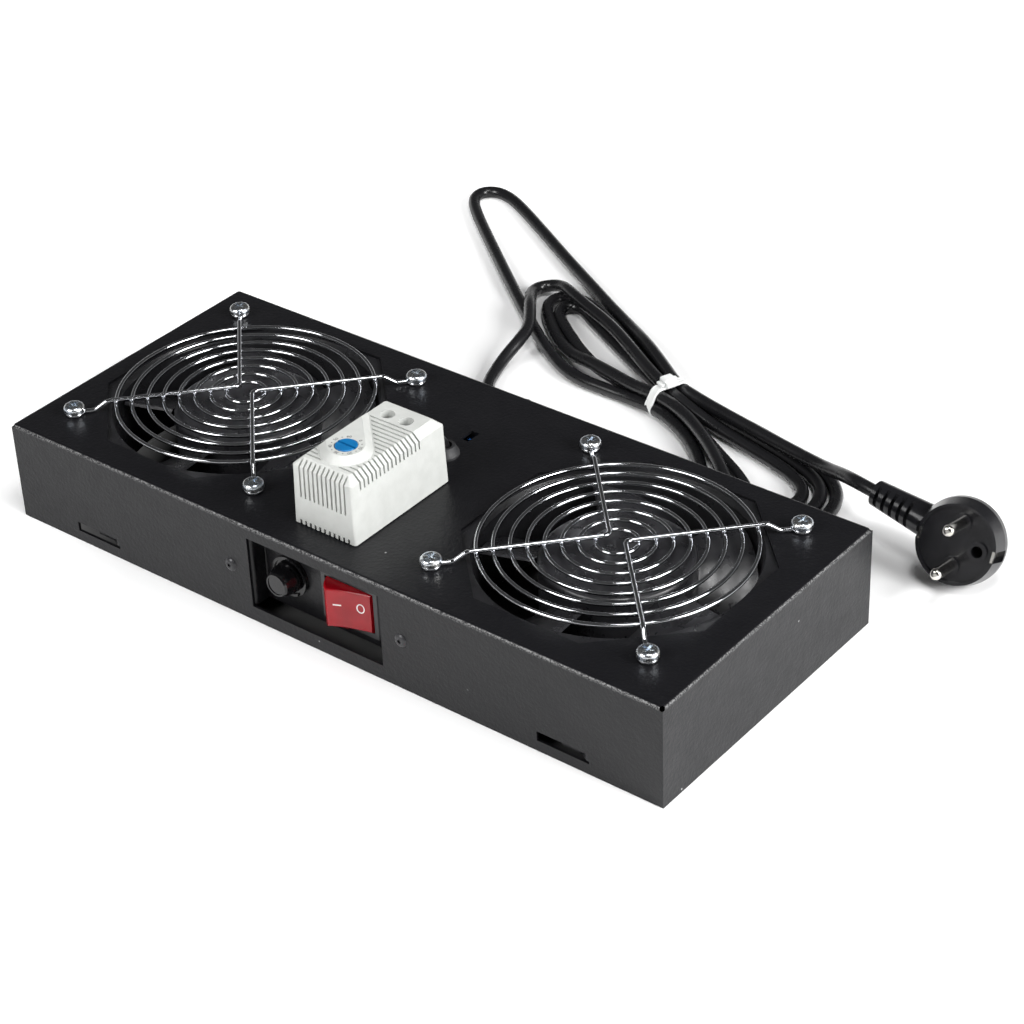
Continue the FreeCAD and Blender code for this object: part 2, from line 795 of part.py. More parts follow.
# ================================================================ wire guards
def spoke(direction):
    """One wire: from a front screw in to the middle, round a bend and out to a back screw."""
    half = fan_hole_pitch / 2
    start = V(direction * spoke_corner, 0, 0)
    high = ring_lift + ring_wire + spoke_wire - weld_sink
    low = spoke_wire
    diagonal = math.hypot(half, half)

    def leg(sign):
        screw = V(direction * half, sign * half, 0)
        run = (screw - start).normalize()
        reach = (screw - start).Length
        inner = start + run * (reach - (diagonal - joggle_start))
        outer = start + run * (reach - (diagonal - joggle_end))
        last = screw - run * eyelet_radius
        return [inner + V(0, 0, high), outer + V(0, 0, low), last + V(0, 0, low)]

    first = leg(-1)
    second = leg(1)
    points = [first[2], first[1], first[0], start + V(0, 0, high), second[0], second[1], second[2]]
    radii = [joggle_bend, joggle_bend, spoke_bend, joggle_bend, joggle_bend]
    wire = swept_round(rounded_path(points, radii), spoke_wire)
    eyelets = []
    for sign in (-1, 1):
        eyelets.append(Part.makeTorus(eyelet_radius, spoke_wire,
                                      V(direction * half, sign * half, low), Z_AXIS))
    return wire.fuse(eyelets)


def finger_guard(side):
    """Concentric rings of round wire, welded under two bent spoke wires."""
    rings = []
    for i in range(ring_count):
        rings.append(Part.makeTorus(ring_first + i * ring_step, ring_wire, V(0, 0, ring_lift), Z_AXIS))
    guard = spoke(-1).fuse([spoke(1)] + rings)
    guard.translate(V(fan_x[side], fan_shift_y, tray_height))
    return guard


# ================================================================ guard screws
def pan_head_screw(x, y):
    """Pan head with a cross recess; the shank passes the eyelet, the plate and the fan's flange."""
    seat = tray_height + 2 * spoke_wire
    head = cylinder(screw_head_radius, V(x, y, seat), V(x, y, seat + screw_head_height))
    head = head.makeFillet(0.62 * screw_head_height,
                           [e for e in head.Edges if e.BoundBox.ZMin > seat + screw_head_height - 0.01])
    shank = cylinder(screw_shank, V(x, y, seat - screw_length), V(x, y, seat))
    shank = shank.makeChamfer(0.6, [e for e in shank.Edges if e.BoundBox.ZMax < seat - screw_length + 0.01])
    screw = head.fuse(shank)
    top = seat + screw_head_height
    for along, across in ((recess_span, recess_width), (recess_width, recess_span)):
        screw = screw.cut(box(x - along / 2, y - across / 2, top - recess_depth,
                              x + along / 2, y + across / 2, top))
    return screw


def guard_screws():
    return group([pan_head_screw(x, y) for x, y in guard_screw_places()])


def guard_washers():
    top = fan_top - fan_flange
    return group([pipe(washer_radius, screw_shank, V(x, y, top - washer_height), V(x, y, top))
                  for x, y in guard_screw_places()])


def guard_nuts():
    top = fan_top - fan_flange - washer_height
    return group([hexagon_nut(nut_across, nut_height, screw_shank, V(x, y, top), -Z_AXIS)
                  for x, y in guard_screw_places()])


# ================================================================ rocker switch
pivot_y = panel_face - bezel_thickness + rocker_pivot_depth
rocker_radius = math.hypot(rocker_half_length, rocker_rise)


def rocker_point(across, forward, angle):
    """A point in plan, given across and in front of the pivot, turned about it."""
    turn = math.radians(angle)
    x = across * math.cos(turn) + forward * math.sin(turn)
    out = forward * math.cos(turn) - across * math.sin(turn)
    return rocker_x + x, pivot_y - out


def rocker_outline(radius, rise, skirt, z0, z1):
    """Prism of the rocker's plan: dished face, two ends round the pivot, flat underside."""
    half = math.sqrt(radius ** 2 - rise ** 2)
    corner_angle = math.atan2(half, rise)
    skirt_angle = math.radians(skirt)
    middle_angle = (corner_angle + skirt_angle) / 2

    def at(across, forward):
        x, y = rocker_point(across, forward, rocker_tilt)
        return V(x, y, z0)

    def on_end(sign, angle):
        return at(sign * radius * math.sin(angle), radius * math.cos(angle))

    face = Part.Arc(at(-half, rise), at(0, rise - rocker_dish), at(half, rise)).toShape()
    right = Part.Arc(at(half, rise), on_end(1, middle_angle), on_end(1, skirt_angle)).toShape()
    under = Part.LineSegment(on_end(1, skirt_angle), on_end(-1, skirt_angle)).toShape()
    left = Part.Arc(on_end(-1, skirt_angle), on_end(-1, middle_angle), at(-half, rise)).toShape()
    return Part.Face(Part.Wire([face, right, under, left])).extrude(V(0, 0, z1 - z0))


def rocker():
    """Hollow moulded rocker with its two trunnions, at rest with the right end pressed in."""
    z0, z1 = window_middle - rocker_half_height, window_middle + rocker_half_height
    body = rocker_outline(rocker_radius, rocker_rise, rocker_skirt_angle, z0, z1)
    edges = []
    for edge in body.Edges:
        centre = edge.CenterOfMass
        flat = abs(edge.BoundBox.ZLength) < 1e-6
        out = pivot_y - centre.y
        if flat and out > rocker_rise * 0.55 and edge.Length > rocker_half_length:
            edges.append(edge)
    body = body.makeFillet(rocker_edge, edges)
    hollow = rocker_outline(rocker_radius - rocker_wall, rocker_rise - rocker_wall, 150.0,
                            z0 + rocker_wall, z1 - rocker_wall)
    body = body.cut(hollow)
    pin_end = rocker_half_height + trunnion_length
    axis_low = V(rocker_x, pivot_y, window_middle - pin_end)
    axis_high = V(rocker_x, pivot_y, window_middle + pin_end)
    pins = cylinder(trunnion_radius, axis_low, axis_high)
    pins = pins.cut(box(rocker_x - 3, pivot_y - 3, z0 + rocker_wall, rocker_x + 3, pivot_y + 3,
                        z1 - rocker_wall))
    ears = []
    for low, high in ((z0, z0 + rocker_wall), (z1 - rocker_wall, z1)):
        ears.append(cylinder(2 * trunnion_radius, V(rocker_x, pivot_y, low), V(rocker_x, pivot_y, high)))
    return body.fuse([pins] + ears).removeSplitter()


def rocker_housing():
    """Bezel over the panel, body through it, and the pocket that the rocker swings in."""
    bezel_face = panel_face - bezel_thickness
    bezel = box(rocker_x - bezel_width / 2, bezel_face, window_middle - bezel_height / 2,
                rocker_x + bezel_width / 2, panel_face, window_middle + bezel_height / 2)
    along_y = [e for e in bezel.Edges if abs(e.BoundBox.YLength - bezel_thickness) < 1e-6
               and e.BoundBox.XLength < 1e-6 and e.BoundBox.ZLength < 1e-6]
    bezel = bezel.makeFillet(bezel_radius, along_y)
    bezel = bezel.makeChamfer(0.8, [e for e in bezel.Edges if e.BoundBox.YMax < bezel_face + 1e-6])
    body = box(rocker_x - switch_body_width / 2, panel_face, window_middle - switch_body_height / 2,
               rocker_x + switch_body_width / 2, panel_face + switch_body_depth,
               window_middle + switch_body_height / 2)
    housing = bezel.fuse(body)
    swing = rocker_radius + rocker_gap
    pocket_half = rocker_half_height + rocker_gap
    lowest = rocker_radius * math.cos(math.radians(rocker_skirt_angle + rocker_tilt))
    pocket_floor = pivot_y - lowest + pocket_spare
    pocket = box(rocker_x - swing, bezel_face, window_middle - pocket_half,
                 rocker_x + swing, pocket_floor, window_middle + pocket_half)
    pin_end = rocker_half_height + trunnion_length + trunnion_clearance
    journal = cylinder(trunnion_radius + trunnion_clearance,
                       V(rocker_x, pivot_y, window_middle - pin_end),
                       V(rocker_x, pivot_y, window_middle + pin_end))
    housing = housing.cut([pocket, journal])
    wings = []
    for sign in (-1, 1):
        side = rocker_x + sign * switch_body_width / 2
        back_of_panel = panel_face + sheet
        wedge = [V(side, back_of_panel, window_middle - 4),
                 V(side + sign * 0.9, back_of_panel, window_middle - 4),
                 V(side, back_of_panel + 6, window_middle - 4)]
        wings.append(polygon_prism(wedge, V(0, 0, 8)))
    return housing.fuse(wings).removeSplitter(), pocket_floor


def rocker_lamp(pocket_floor):
    """Neon lamp on two legs, on the rocker's axis inside its hollow."""
    half = lamp_length / 2
    bulb = cylinder(lamp_radius, V(rocker_x, pivot_y, window_middle - half),
                    V(rocker_x, pivot_y, window_middle + half))
    bulb = bulb.makeFillet(0.9 * lamp_radius, [e for e in bulb.Edges if e.BoundBox.ZMin > window_middle])
    legs = []
    for dz in (-half + 1.0, -half + 3.4):
        legs.append(cylinder(lamp_leg, V(rocker_x, pivot_y, window_middle + dz),
                             V(rocker_x, pocket_floor, window_middle + dz)))
    return bulb.fuse(legs)


def rocker_terminals():
    rear = panel_face + switch_body_depth
    blades = []
    for dx in (-terminal_spread_x, terminal_spread_x):
        for dz in (-terminal_spread_z, terminal_spread_z):
            x, z = rocker_x + dx, window_middle + dz
            tab = box(x - blade_terminal_thickness / 2, rear, z - blade_terminal_width / 2,
                      x + blade_terminal_thickness / 2, rear + blade_terminal_length,
                      z + blade_terminal_width / 2)
            blades.append(tab.cut(cylinder(0.9, V(x - 1, rear + 6.4, z), V(x + 1, rear + 6.4, z))))
    return group(blades)


# ================================================================ fuse holder
fuse_face = panel_face - fuse_flange_thickness


def along_fuse(radius, y0, y1):
    return cylinder(radius, V(fuse_x, y0, window_middle), V(fuse_x, y1, window_middle))


def fuse_holder_body():
    """Flange with a raised rim, threaded barrel, and bores for the cap's stem and the fuse."""
    rear = panel_face + fuse_body_depth
    body = along_fuse(fuse_flange_radius, fuse_face, panel_face)
    body = body.fuse([along_fuse(fuse_thread_radius, panel_face, panel_face + 0.7 * fuse_body_depth),
                      along_fuse(fuse_thread_radius - 1.0, panel_face + 0.7 * fuse_body_depth, rear)])
    dish = along_fuse(fuse_flange_radius - fuse_flange_rim, fuse_face, fuse_face + 0.8)
    stem_bore = along_fuse(stem_radius + stem_clearance, fuse_face, fuse_face + stem_length + 0.5)
    link_bore = along_fuse(link_radius + 0.3, fuse_face, fuse_face + link_start + link_length)
    notch = box(fuse_x + fuse_flange_radius * 0.45, fuse_face, window_middle - fuse_flange_radius,
                fuse_x + fuse_flange_radius * 0.45 + fuse_notch, fuse_face + 0.8,
                window_middle - fuse_flange_radius * 0.55)
    return body.cut([dish, stem_bore, link_bore, notch]).removeSplitter()


def fuse_holder_nut():
    return hexagon_nut(fuse_nut_across, fuse_nut_height, fuse_thread_radius,
                       V(fuse_x, panel_face + sheet, window_middle), Y_AXIS)


def fuse_holder_terminals():
    """Rear contact blade behind the fuse, and side contact blade on the barrel."""
    rear = panel_face + fuse_body_depth
    half = blade_terminal_width / 2
    thick = blade_terminal_thickness / 2
    end_tab = box(fuse_x - half, rear, window_middle - thick, fuse_x + half,
                  rear + blade_terminal_length, window_middle + thick)
    side_tab = box(side_tab_x - thick, side_tab_start, window_middle - half,
                   side_tab_x + thick, side_tab_start + side_tab_length, window_middle + half)
    foot = box(side_tab_x - thick, side_tab_start, window_middle - half,
               fuse_x, side_tab_start + 1.5 * blade_terminal_thickness, window_middle + half)
    barrel = along_fuse(fuse_thread_radius, side_tab_start, side_tab_start + side_tab_length)
    return group([end_tab, side_tab.fuse(foot).cut(barrel).removeSplitter()])


def fuse_cap():
    """Bayonet cap: fluted knob with a grooved root, and a hollow stem that grips the fuse."""
    tip = fuse_face - cap_length
    stations = [(cap_radius, fuse_face), (cap_radius, fuse_face - 1.1),
                (cap_radius - cap_groove, fuse_face - 1.1), (cap_radius - cap_groove, fuse_face - 2.2),
                (cap_radius - 0.1, fuse_face - 2.2), (cap_tip_radius + 0.6, tip + 0.9),
                (cap_tip_radius, tip), (cap_tip_radius - 0.7, tip), (cap_tip_radius - 0.7, tip + 0.35),
                (0, tip + 0.35), (0, fuse_face)]
    profile = [V(fuse_x + r, y, window_middle) for r, y in stations]
    knob = Part.Face(Part.makePolygon(profile + profile[:1]))
    knob = knob.revolve(V(fuse_x, 0, window_middle), Y_AXIS, 360)
    stem = along_fuse(stem_radius, fuse_face, fuse_face + stem_length)
    grip_bore = along_fuse(link_radius + link_clearance, fuse_face + link_start,
                           fuse_face + stem_length)
    return knob.fuse(stem).cut(grip_bore).removeSplitter()


def fuse_end_caps():
    caps = []
    first = fuse_face + link_start
    last = first + link_length
    for start, inner in ((first, first + link_cap_length), (last, last - link_cap_length)):
        cap = along_fuse(link_radius, min(start, inner), max(start, inner))
        closed = 0.4 if inner > start else -0.4
        low, high = sorted((start + closed, inner))
        caps.append(cap.cut(along_fuse(link_glass_radius, low, high)))
    return group(caps)


def fuse_glass():
    first = fuse_face + link_start + 0.4
    last = fuse_face + link_start + link_length - 0.4
    tube = along_fuse(link_glass_radius, first, last).cut(along_fuse(link_glass_radius - 0.6, first, last))
    return tube


# ================================================================ thermostat
cover_top = tray_height + thermostat_height
plateau_top = cover_top + plateau_rise
well_floor = cover_top - well_depth
dial_x = thermostat_x
dial_y = thermostat_y + dial_offset_y


def cover_outline(grow, z):
    """Rounded rectangle of the cover's section, which shrinks upwards by the draft."""
    lean = cover_draft * (z - tray_height) / thermostat_height
    hw = thermostat_width / 2 - lean + grow
    hd = thermostat_depth / 2 - lean + grow
    x0, x1 = thermostat_x - hw, thermostat_x + hw
    y0, y1 = thermostat_y - hd, thermostat_y + hd
    corners = [V(x0, y0, z), V(x1, y0, z), V(x1, y1, z), V(x0, y1, z)]
    start = (corners[0] + corners[3]) * 0.5
    return rounded_path([start] + corners + [start], [cover_corner] * 4)


def drafted_block(grow, z0, z1):
    """Block that narrows upwards by the cover's draft."""
    return Part.makeLoft([cover_outline(grow, z0), cover_outline(grow, z1)], True, True)


def bevelled_block(grow, z0, z1, edge=cover_edge):
    """Drafted block with a bevel round its top."""
    shoulder = z1 - edge
    top = Part.makeLoft([cover_outline(grow, shoulder), cover_outline(grow - edge, z1)], True, True)
    return drafted_block(grow, z0, shoulder).fuse(top).removeSplitter()


def plateau_outline(radius, z):
    """Round at the dial, then straight sides running off to the back-left at 45 degrees."""
    run = V(-1, 1, 0).normalize()
    side = V(1, 1, 0).normalize()
    centre = V(dial_x, dial_y, z)
    far = centre + run * (3 * thermostat_width)
    arc = Part.Arc(centre - side * radius, centre - run * radius, centre + side * radius).toShape()
    sides = [Part.LineSegment(centre + side * radius, far + side * radius).toShape(),
             Part.LineSegment(far + side * radius, far - side * radius).toShape(),
             Part.LineSegment(far - side * radius, centre - side * radius).toShape()]
    return Part.Wire([arc] + sides)


def plateau():
    """Raised field round the dial with a sloping wall, trimmed by the cover's bevel carried on up."""
    foot = plateau_outline(plateau_radius + plateau_skirt, cover_top)
    head = plateau_outline(plateau_radius, plateau_top)
    field = Part.makeLoft([foot, head], True, True)
    sink = Part.Face(foot).extrude(V(0, 0, -cover_edge))
    limit = bevelled_block(0, tray_height, plateau_top, cover_edge + plateau_rise)
    return field.fuse(sink).common(limit)


def side_vent_cutters():
    """Comb of slits over both long top edges and down the sides, stopped at the plateau."""
    first = thermostat_y - thermostat_depth / 2 + 6.0
    last = thermostat_y + screw_well_y - 5.0
    count = int((last - first) / vent_pitch) + 1
    blades = []
    for i in range(count):
        y = first + i * vent_pitch
        blades.append(box(thermostat_x - thermostat_width, y - vent_width / 2, tray_height + vent_foot,
                          thermostat_x + thermostat_width, y + vent_width / 2, plateau_top + 1))
    return blades


def front_vent_cutters():
    first = thermostat_x - front_vent_pitch * (front_vent_count - 1) / 2
    blades = []
    for i in range(front_vent_count):
        x = first + i * front_vent_pitch
        blades.append(box(x - vent_width / 2, thermostat_y - thermostat_depth / 2 - 2,
                          tray_height + front_vent_foot, x + vent_width / 2,
                          thermostat_y - thermostat_depth / 2 + 3.4, plateau_top + 1))
    return blades


def front_notches():
    first = thermostat_x - notch_pitch * (front_vent_count - 1) / 2
    cuts = []
    for i in range(front_vent_count):
        x = first + i * notch_pitch
        cuts.append(box(x - notch_width / 2, thermostat_y - thermostat_depth / 2 - 2, tray_height,
                        x + notch_width / 2, thermostat_y - thermostat_depth / 2 + cover_wall + 1,
                        tray_height + cover_lift + notch_height))
    return cuts


def thermostat_cover():
    """Moulded cover: drafted walls, bevelled top, plateau, vent slits, dial well, screw wells."""
    block = bevelled_block(0, tray_height + cover_lift, cover_top)
    core = bevelled_block(-vent_depth, tray_height, cover_top - vent_depth)
    keep = Part.Face(plateau_outline(plateau_radius + plateau_skirt + 0.6, tray_height)).extrude(V(0, 0, 60))
    slits = [s.cut([core, keep]) for s in side_vent_cutters()] + [s.cut(core) for s in front_vent_cutters()]
    body = block.cut(slits).fuse(plateau())
    inside = bevelled_block(-cover_wall, tray_height - 1, cover_top - cover_wall)
    dial_well = cylinder(dial_radius + dial_well_gap, V(dial_x, dial_y, plateau_top - dial_well_depth),
                         V(dial_x, dial_y, plateau_top + 1))
    dial_hole = cylinder(dial_stem_radius + 0.05, V(dial_x, dial_y, tray_height),
                         V(dial_x, dial_y, plateau_top))
    lead_z = tray_height + lead_exit_height
    lead_hole = cylinder(lead_thermostat_radius + sleeve_clearance, V(thermostat_x, thermostat_y, lead_z),
                         V(thermostat_x, thermostat_y + thermostat_depth, lead_z))
    cuts = [inside, dial_well, dial_hole, lead_hole] + front_notches()
    wells = []
    for x in well_places():
        y = thermostat_y + screw_well_y
        wells.append(cylinder(screw_well_radius + well_wall, V(x, y, well_floor), V(x, y, cover_top - 1)))
        cuts.append(cylinder(screw_well_radius, V(x, y, well_floor - 1), V(x, y, cover_top + 1)))
    return body.cut(cuts[:1]).fuse(wells).cut(cuts[1:]).removeSplitter()


def well_places():
    return (thermostat_x - screw_well_spread / 2, thermostat_x + screw_well_spread / 2)


def thermostat_base():
    """Base tray inside the cover: floor, rim, terminal block under the wells, and two hook feet."""
    hw = thermostat_width / 2 - cover_wall - cover_draft - base_gap
    hd = thermostat_depth / 2 - cover_wall - cover_draft - base_gap
    x0, x1 = thermostat_x - hw, thermostat_x + hw
    y0, y1 = thermostat_y - hd, thermostat_y + hd
    floor = rounded_box(x0, y0, tray_height, x1, y1, tray_height + base_floor, cover_corner)
    rim = rounded_box(x0, y0, tray_height, x1, y1, tray_height + base_height, cover_corner)
    rim = rim.cut(box(x0 + 1.4, y0 + 1.4, tray_height, x1 - 1.4, y1 - 1.4, tray_height + base_height))
    well_y = thermostat_y + screw_well_y
    block = rounded_box(x0, well_y - 5, tray_height, x1, y1, cover_top - cover_wall - 5.0, cover_corner)
    feet = []
    half_depth = latch_window_depth / 2
    y = thermostat_y - half_depth + 0.2
    feet.append(box(thermostat_x - latch_window_width / 2 + 1, y, plate_under - 1.6,
                    thermostat_x + latch_window_width / 2 - 1, y + latch_foot, tray_height))
    feet.append(box(thermostat_x - latch_window_width / 2 + 1, y - 2.2, plate_under - 1.6,
                    thermostat_x + latch_window_width / 2 - 1, y + latch_foot, plate_under))
    y = thermostat_y + half_depth - 0.2 - latch_foot
    feet.append(box(thermostat_x - latch_window_width / 2 + 1, y, plate_under - 1.6,
                    thermostat_x + latch_window_width / 2 - 1, y + latch_foot, tray_height))
    base = floor.fuse([rim, block] + feet)
    cuts = []
    for x in well_places():
        cuts.append(cylinder(terminal_screw_radius, V(x, well_y, cover_top - cover_wall - 10.0),
                             V(x, well_y, cover_top - cover_wall)))
    lead_z = tray_height + lead_exit_height
    socket_start = thermostat_y + thermostat_depth / 2 - cover_wall - lead_socket_depth
    cuts.append(cylinder(lead_thermostat_radius + sleeve_clearance, V(thermostat_x, socket_start, lead_z),
                         V(thermostat_x, y1 + 1, lead_z)))
    return base.cut(cuts).removeSplitter()


def thermostat_latch():
    """Steel spring latch that grips the plate's underside behind the base's rear foot."""
    y = thermostat_y + latch_window_depth / 2
    foot_back = y - 0.2
    half = latch_window_width / 2 - 4
    under_foot = plate_under - 1.6
    strip = box(thermostat_x - half, foot_back - latch_foot, under_foot - latch_thickness,
                thermostat_x + half, y + 3.0, under_foot)
    toe = box(thermostat_x - half, foot_back + 0.4, under_foot, thermostat_x + half, y + 3.0,
              plate_under)
    return strip.fuse(toe)


def thermostat_screws():
    screws = []
    y = thermostat_y + screw_well_y
    seat = cover_top - cover_wall - 10.0
    for x in well_places():
        screw = cylinder(terminal_screw_radius, V(x, y, seat), V(x, y, seat + 5.2))
        screws.append(screw.cut(box(x - terminal_screw_radius, y - 0.4, seat + 4.2,
                                    x + terminal_screw_radius, y + 0.4, seat + 5.2)))
    return group(screws)


def thermostat_bimetal():
    """Bimetal strip on its post, under the dial's stem."""
    z = tray_height + base_height
    post = box(thermostat_x - 3, dial_y - 16 + 8, tray_height + base_floor, thermostat_x + 3, dial_y - 4, z)
    strip = box(thermostat_x - 3, dial_y - 8, z, thermostat_x + 3, dial_y + 18, z + 0.8)
    return post.fuse(strip)


def thermostat_dial():
    """Setting knob with a screwdriver slot, and its stem down to the bimetal strip."""
    seat = plateau_top - dial_well_depth
    top = seat + dial_height
    knob = cylinder(dial_radius, V(dial_x, dial_y, seat), V(dial_x, dial_y, top))
    knob = knob.makeFillet(0.5, [e for e in knob.Edges if e.BoundBox.ZMin > top - 0.01])
    stem = cylinder(dial_stem_radius, V(dial_x, dial_y, tray_height + base_height + 0.8),
                    V(dial_x, dial_y, seat))
    slot = box(dial_x - dial_radius, dial_y - dial_slot_width / 2, top - dial_slot_depth,
               dial_x + dial_radius, dial_y + dial_slot_width / 2, top)
    return knob.fuse(stem).cut(slot).removeSplitter()


# ================================================================ grommet and gland
def plate_grommet():
    """Rubber grommet in the plate: domed collar above, groove on the sheet, tail below."""
    stations = [(grommet_bore_radius, plate_under - grommet_tail),
                (grommet_flange_radius - 0.6, plate_under - grommet_tail),
                (grommet_flange_radius, plate_under), (grommet_hole_radius, plate_under),
                (grommet_hole_radius, tray_height), (grommet_flange_radius, tray_height),
                (grommet_flange_radius, tray_height + 1.0), (grommet_top_radius, tray_height + grommet_rise),
                (grommet_bore_radius, tray_height + grommet_rise)]
    profile = [V(grommet_x + r, grommet_y, z) for r, z in stations]
    face = Part.Face(Part.makePolygon(profile + profile[:1]))
    return face.revolve(V(grommet_x, grommet_y, 0), Z_AXIS, 360)


def cord_gland():
    """Strain relief: flange on the back wall, snap barrel inside, tapered ribbed sleeve outside."""
    def at(y):
        return V(gland_x, y, gland_z)

    flange_end = back + gland_flange_thickness
    sleeve_end = flange_end + gland_sleeve_length
    parts = [cylinder(gland_flange_radius, at(back), at(flange_end)),
             cylinder(gland_hole_radius, at(back - sheet), at(back)),
             cylinder(gland_hole_radius + 0.7, at(back - sheet - 1.6), at(back - sheet)),
             cylinder(gland_hole_radius - 0.4, at(back - gland_inner_length), at(back - sheet - 1.6)),
             cone(gland_hole_radius, gland_sleeve_tip_radius, at(flange_end), at(sleeve_end))]
    gland = parts[0].fuse(parts[1:])
    cuts = [cylinder(cord_radius + cord_bore_clearance, at(back - gland_inner_length - 1), at(sleeve_end))]
    groove = 1.6
    for i in range(5):
        y = flange_end + 2.4 + i * 3.9
        ring = pipe(gland_flange_radius, gland_sleeve_tip_radius - 0.55, at(y), at(y + groove))
        for sign in (-1, 1):
            cuts.append(ring.common(box(gland_x - 9, y - 1, gland_z + min(0.9 * sign, 9 * sign),
                                        gland_x + 9, y + 3, gland_z + max(0.9 * sign, 9 * sign))))
    return gland.cut(cuts)


# ================================================================ spade receptacles and leads
def turned_frame(origin, x_way, y_way):
    """Placement matrix with the given origin and first two axes."""
    z_way = x_way.cross(y_way)
    return FreeCAD.Matrix(x_way.x, y_way.x, z_way.x, origin.x,
                          x_way.y, y_way.y, z_way.y, origin.y,
                          x_way.z, y_way.z, z_way.z, origin.z, 0, 0, 0, 1)


def receptacle(end, cover, length, width, height, blade_width, blade_height):
    """Insulated push-on receptacle over the last part of a blade."""
    tip, way, across = end
    body = box(-cover, -width / 2, -height / 2, length - cover, width / 2, height / 2)
    body = body.makeFillet(0.3 * height, [e for e in body.Edges if e.BoundBox.XLength > length / 2])
    slot = box(-cover, -blade_width / 2 - sleeve_clearance, -blade_height / 2 - sleeve_clearance,
               sleeve_clearance, blade_width / 2 + sleeve_clearance, blade_height / 2 + sleeve_clearance)
    body = body.cut(slot)
    body.Placement = FreeCAD.Placement(turned_frame(tip, way, across))
    return body


def wide_blade_ends():
    """Tip, direction of the lead and direction of the width of every wide blade."""
    rear = panel_face + switch_body_depth + blade_terminal_length
    ends = {"fuse_rear": (V(fuse_x, panel_face + fuse_body_depth + blade_terminal_length, window_middle),
                          Y_AXIS, X_AXIS),
            "fuse_side": (V(side_tab_x, side_tab_start + side_tab_length, window_middle), Y_AXIS, Z_AXIS),
            "earth": (V(tab_x, tab_y + (tab_window_length + tab_thickness) / 2, plate_under - tab_drop),
                      -Z_AXIS, X_AXIS)}
    for side_name, dx in (("left", -terminal_spread_x), ("right", terminal_spread_x)):
        for level, dz in (("low", -terminal_spread_z), ("high", terminal_spread_z)):
            tip = V(rocker_x + dx, rear, window_middle + dz)
            ends["rocker_%s_%s" % (side_name, level)] = (tip, Y_AXIS, Z_AXIS)
    return ends


def fan_blade_ends():
    ends = {}
    z = fan_bottom + fan_flange / 2
    for side, inward in (("left", 1), ("right", -1)):
        tip_x = fan_x[side] + inward * (fan_side / 2 + spade_length)
        for name, dy in (("front", -spade_spread), ("back", spade_spread)):
            ends[side + "_" + name] = (V(tip_x, fan_shift_y + dy, z), X_AXIS * inward, Y_AXIS)
    return ends


def wide_receptacles():
    return group([receptacle(end, wide_sleeve_cover, wide_sleeve_length, wide_sleeve_width,
                             wide_sleeve_height, blade_terminal_width, blade_terminal_thickness)
                  for end in wide_blade_ends().values()])


def narrow_receptacles():
    return group([receptacle(end, narrow_sleeve_cover, narrow_sleeve_length, narrow_sleeve_width,
                             narrow_sleeve_height, spade_width, spade_thickness)
                  for end in fan_blade_ends().values()])


def wide_end(name):
    """Where a lead meets the back of a wide receptacle, and the way it leaves."""
    tip, way, across = wide_blade_ends()[name]
    return tip + way * (wide_sleeve_length - wide_sleeve_cover), way


def narrow_end(name, shift_y=0):
    tip, way, across = fan_blade_ends()[name]
    return tip + way * (narrow_sleeve_length - narrow_sleeve_cover) + V(0, shift_y, 0), way


def lead(points, radius=core_radius):
    return swept_round(rounded_path(points, free_radii(points)), radius)


def core_start(number):
    """Where one of the cord's three cores leaves the end of its sheath."""
    angle = math.radians(90 + 120 * number)
    reach = core_radius * 1.17
    return V(gland_x + reach * math.cos(angle), sheath_end, gland_z + reach * math.sin(angle))


def lead_live():
    end, way = wide_end("fuse_rear")
    start = core_start(1)
    return lead([start, start - Y_AXIS * 14, end + way * 13, end])


def lead_neutral():
    end, way = wide_end("rocker_left_low")
    start = core_start(2)
    return lead([start, start - Y_AXIS * 12, V(-12, 0, 17), end + way * 16, end])


def lead_earth():
    end, way = wide_end("earth")
    start = core_start(0)
    return lead([start, start - Y_AXIS * 9, V(-18, 17, 26), V(-9, 24, 17), end + way * 11, end])


def lead_fuse_switch():
    start, out = wide_end("fuse_side")
    end, way = wide_end("rocker_left_high")
    return lead([start, start + out * 9, V(-21, -11, 32), V(-6, -8, 33), end + way * 13, end])


def lead_switch_thermostat():
    end, way = wide_end("rocker_right_high")
    start = V(grommet_x + core_radius, grommet_y, drop_end)
    return lead([start, start - Z_AXIS * 5, V(8, 7, 25), end + way * 15, end])


def lead_thermostat_fan():
    end, way = narrow_end("right_back", core_radius)
    start = V(grommet_x - core_radius, grommet_y, drop_end)
    return lead([start, start - Z_AXIS * 9, V(4, 19, 15), end + way * 12, end])


def lead_switch_fan():
    start, out = wide_end("rocker_right_low")
    end, way = narrow_end("right_front", -core_radius)
    return lead([start, start + out * 8, V(12, -13, 12), end + way * 12, end])


def lead_fan_fan(name, shift_y):
    start, out = narrow_end("right_" + name, shift_y)
    end, way = narrow_end("left_" + name)
    sag = (start + end) * 0.5 - Z_AXIS * 3
    return lead([start, start + out * 10, sag, end + way * 10, end])


def lead_thermostat():
    """Sheathed lead from inside the thermostat's base, over and down through the grommet."""
    start_y = thermostat_y + thermostat_depth / 2 - cover_wall - lead_socket_depth
    z = tray_height + lead_exit_height
    points = [V(thermostat_x, start_y, z), V(thermostat_x, start_y + lead_socket_depth + 2 * cover_wall, z),
              V(grommet_x, grommet_y, z), V(grommet_x, grommet_y, drop_end)]
    return swept_round(rounded_path(points, [20.0, lead_bend]), lead_thermostat_radius)


gland_outer_end = back + gland_flange_thickness + gland_sleeve_length


def cord_inner():
    """The cord's sheathed end: through the gland's bore and a short way into the tray."""
    return cylinder(cord_radius, V(gland_x, gland_outer_end, gland_z), V(gland_x, sheath_end, gland_z))


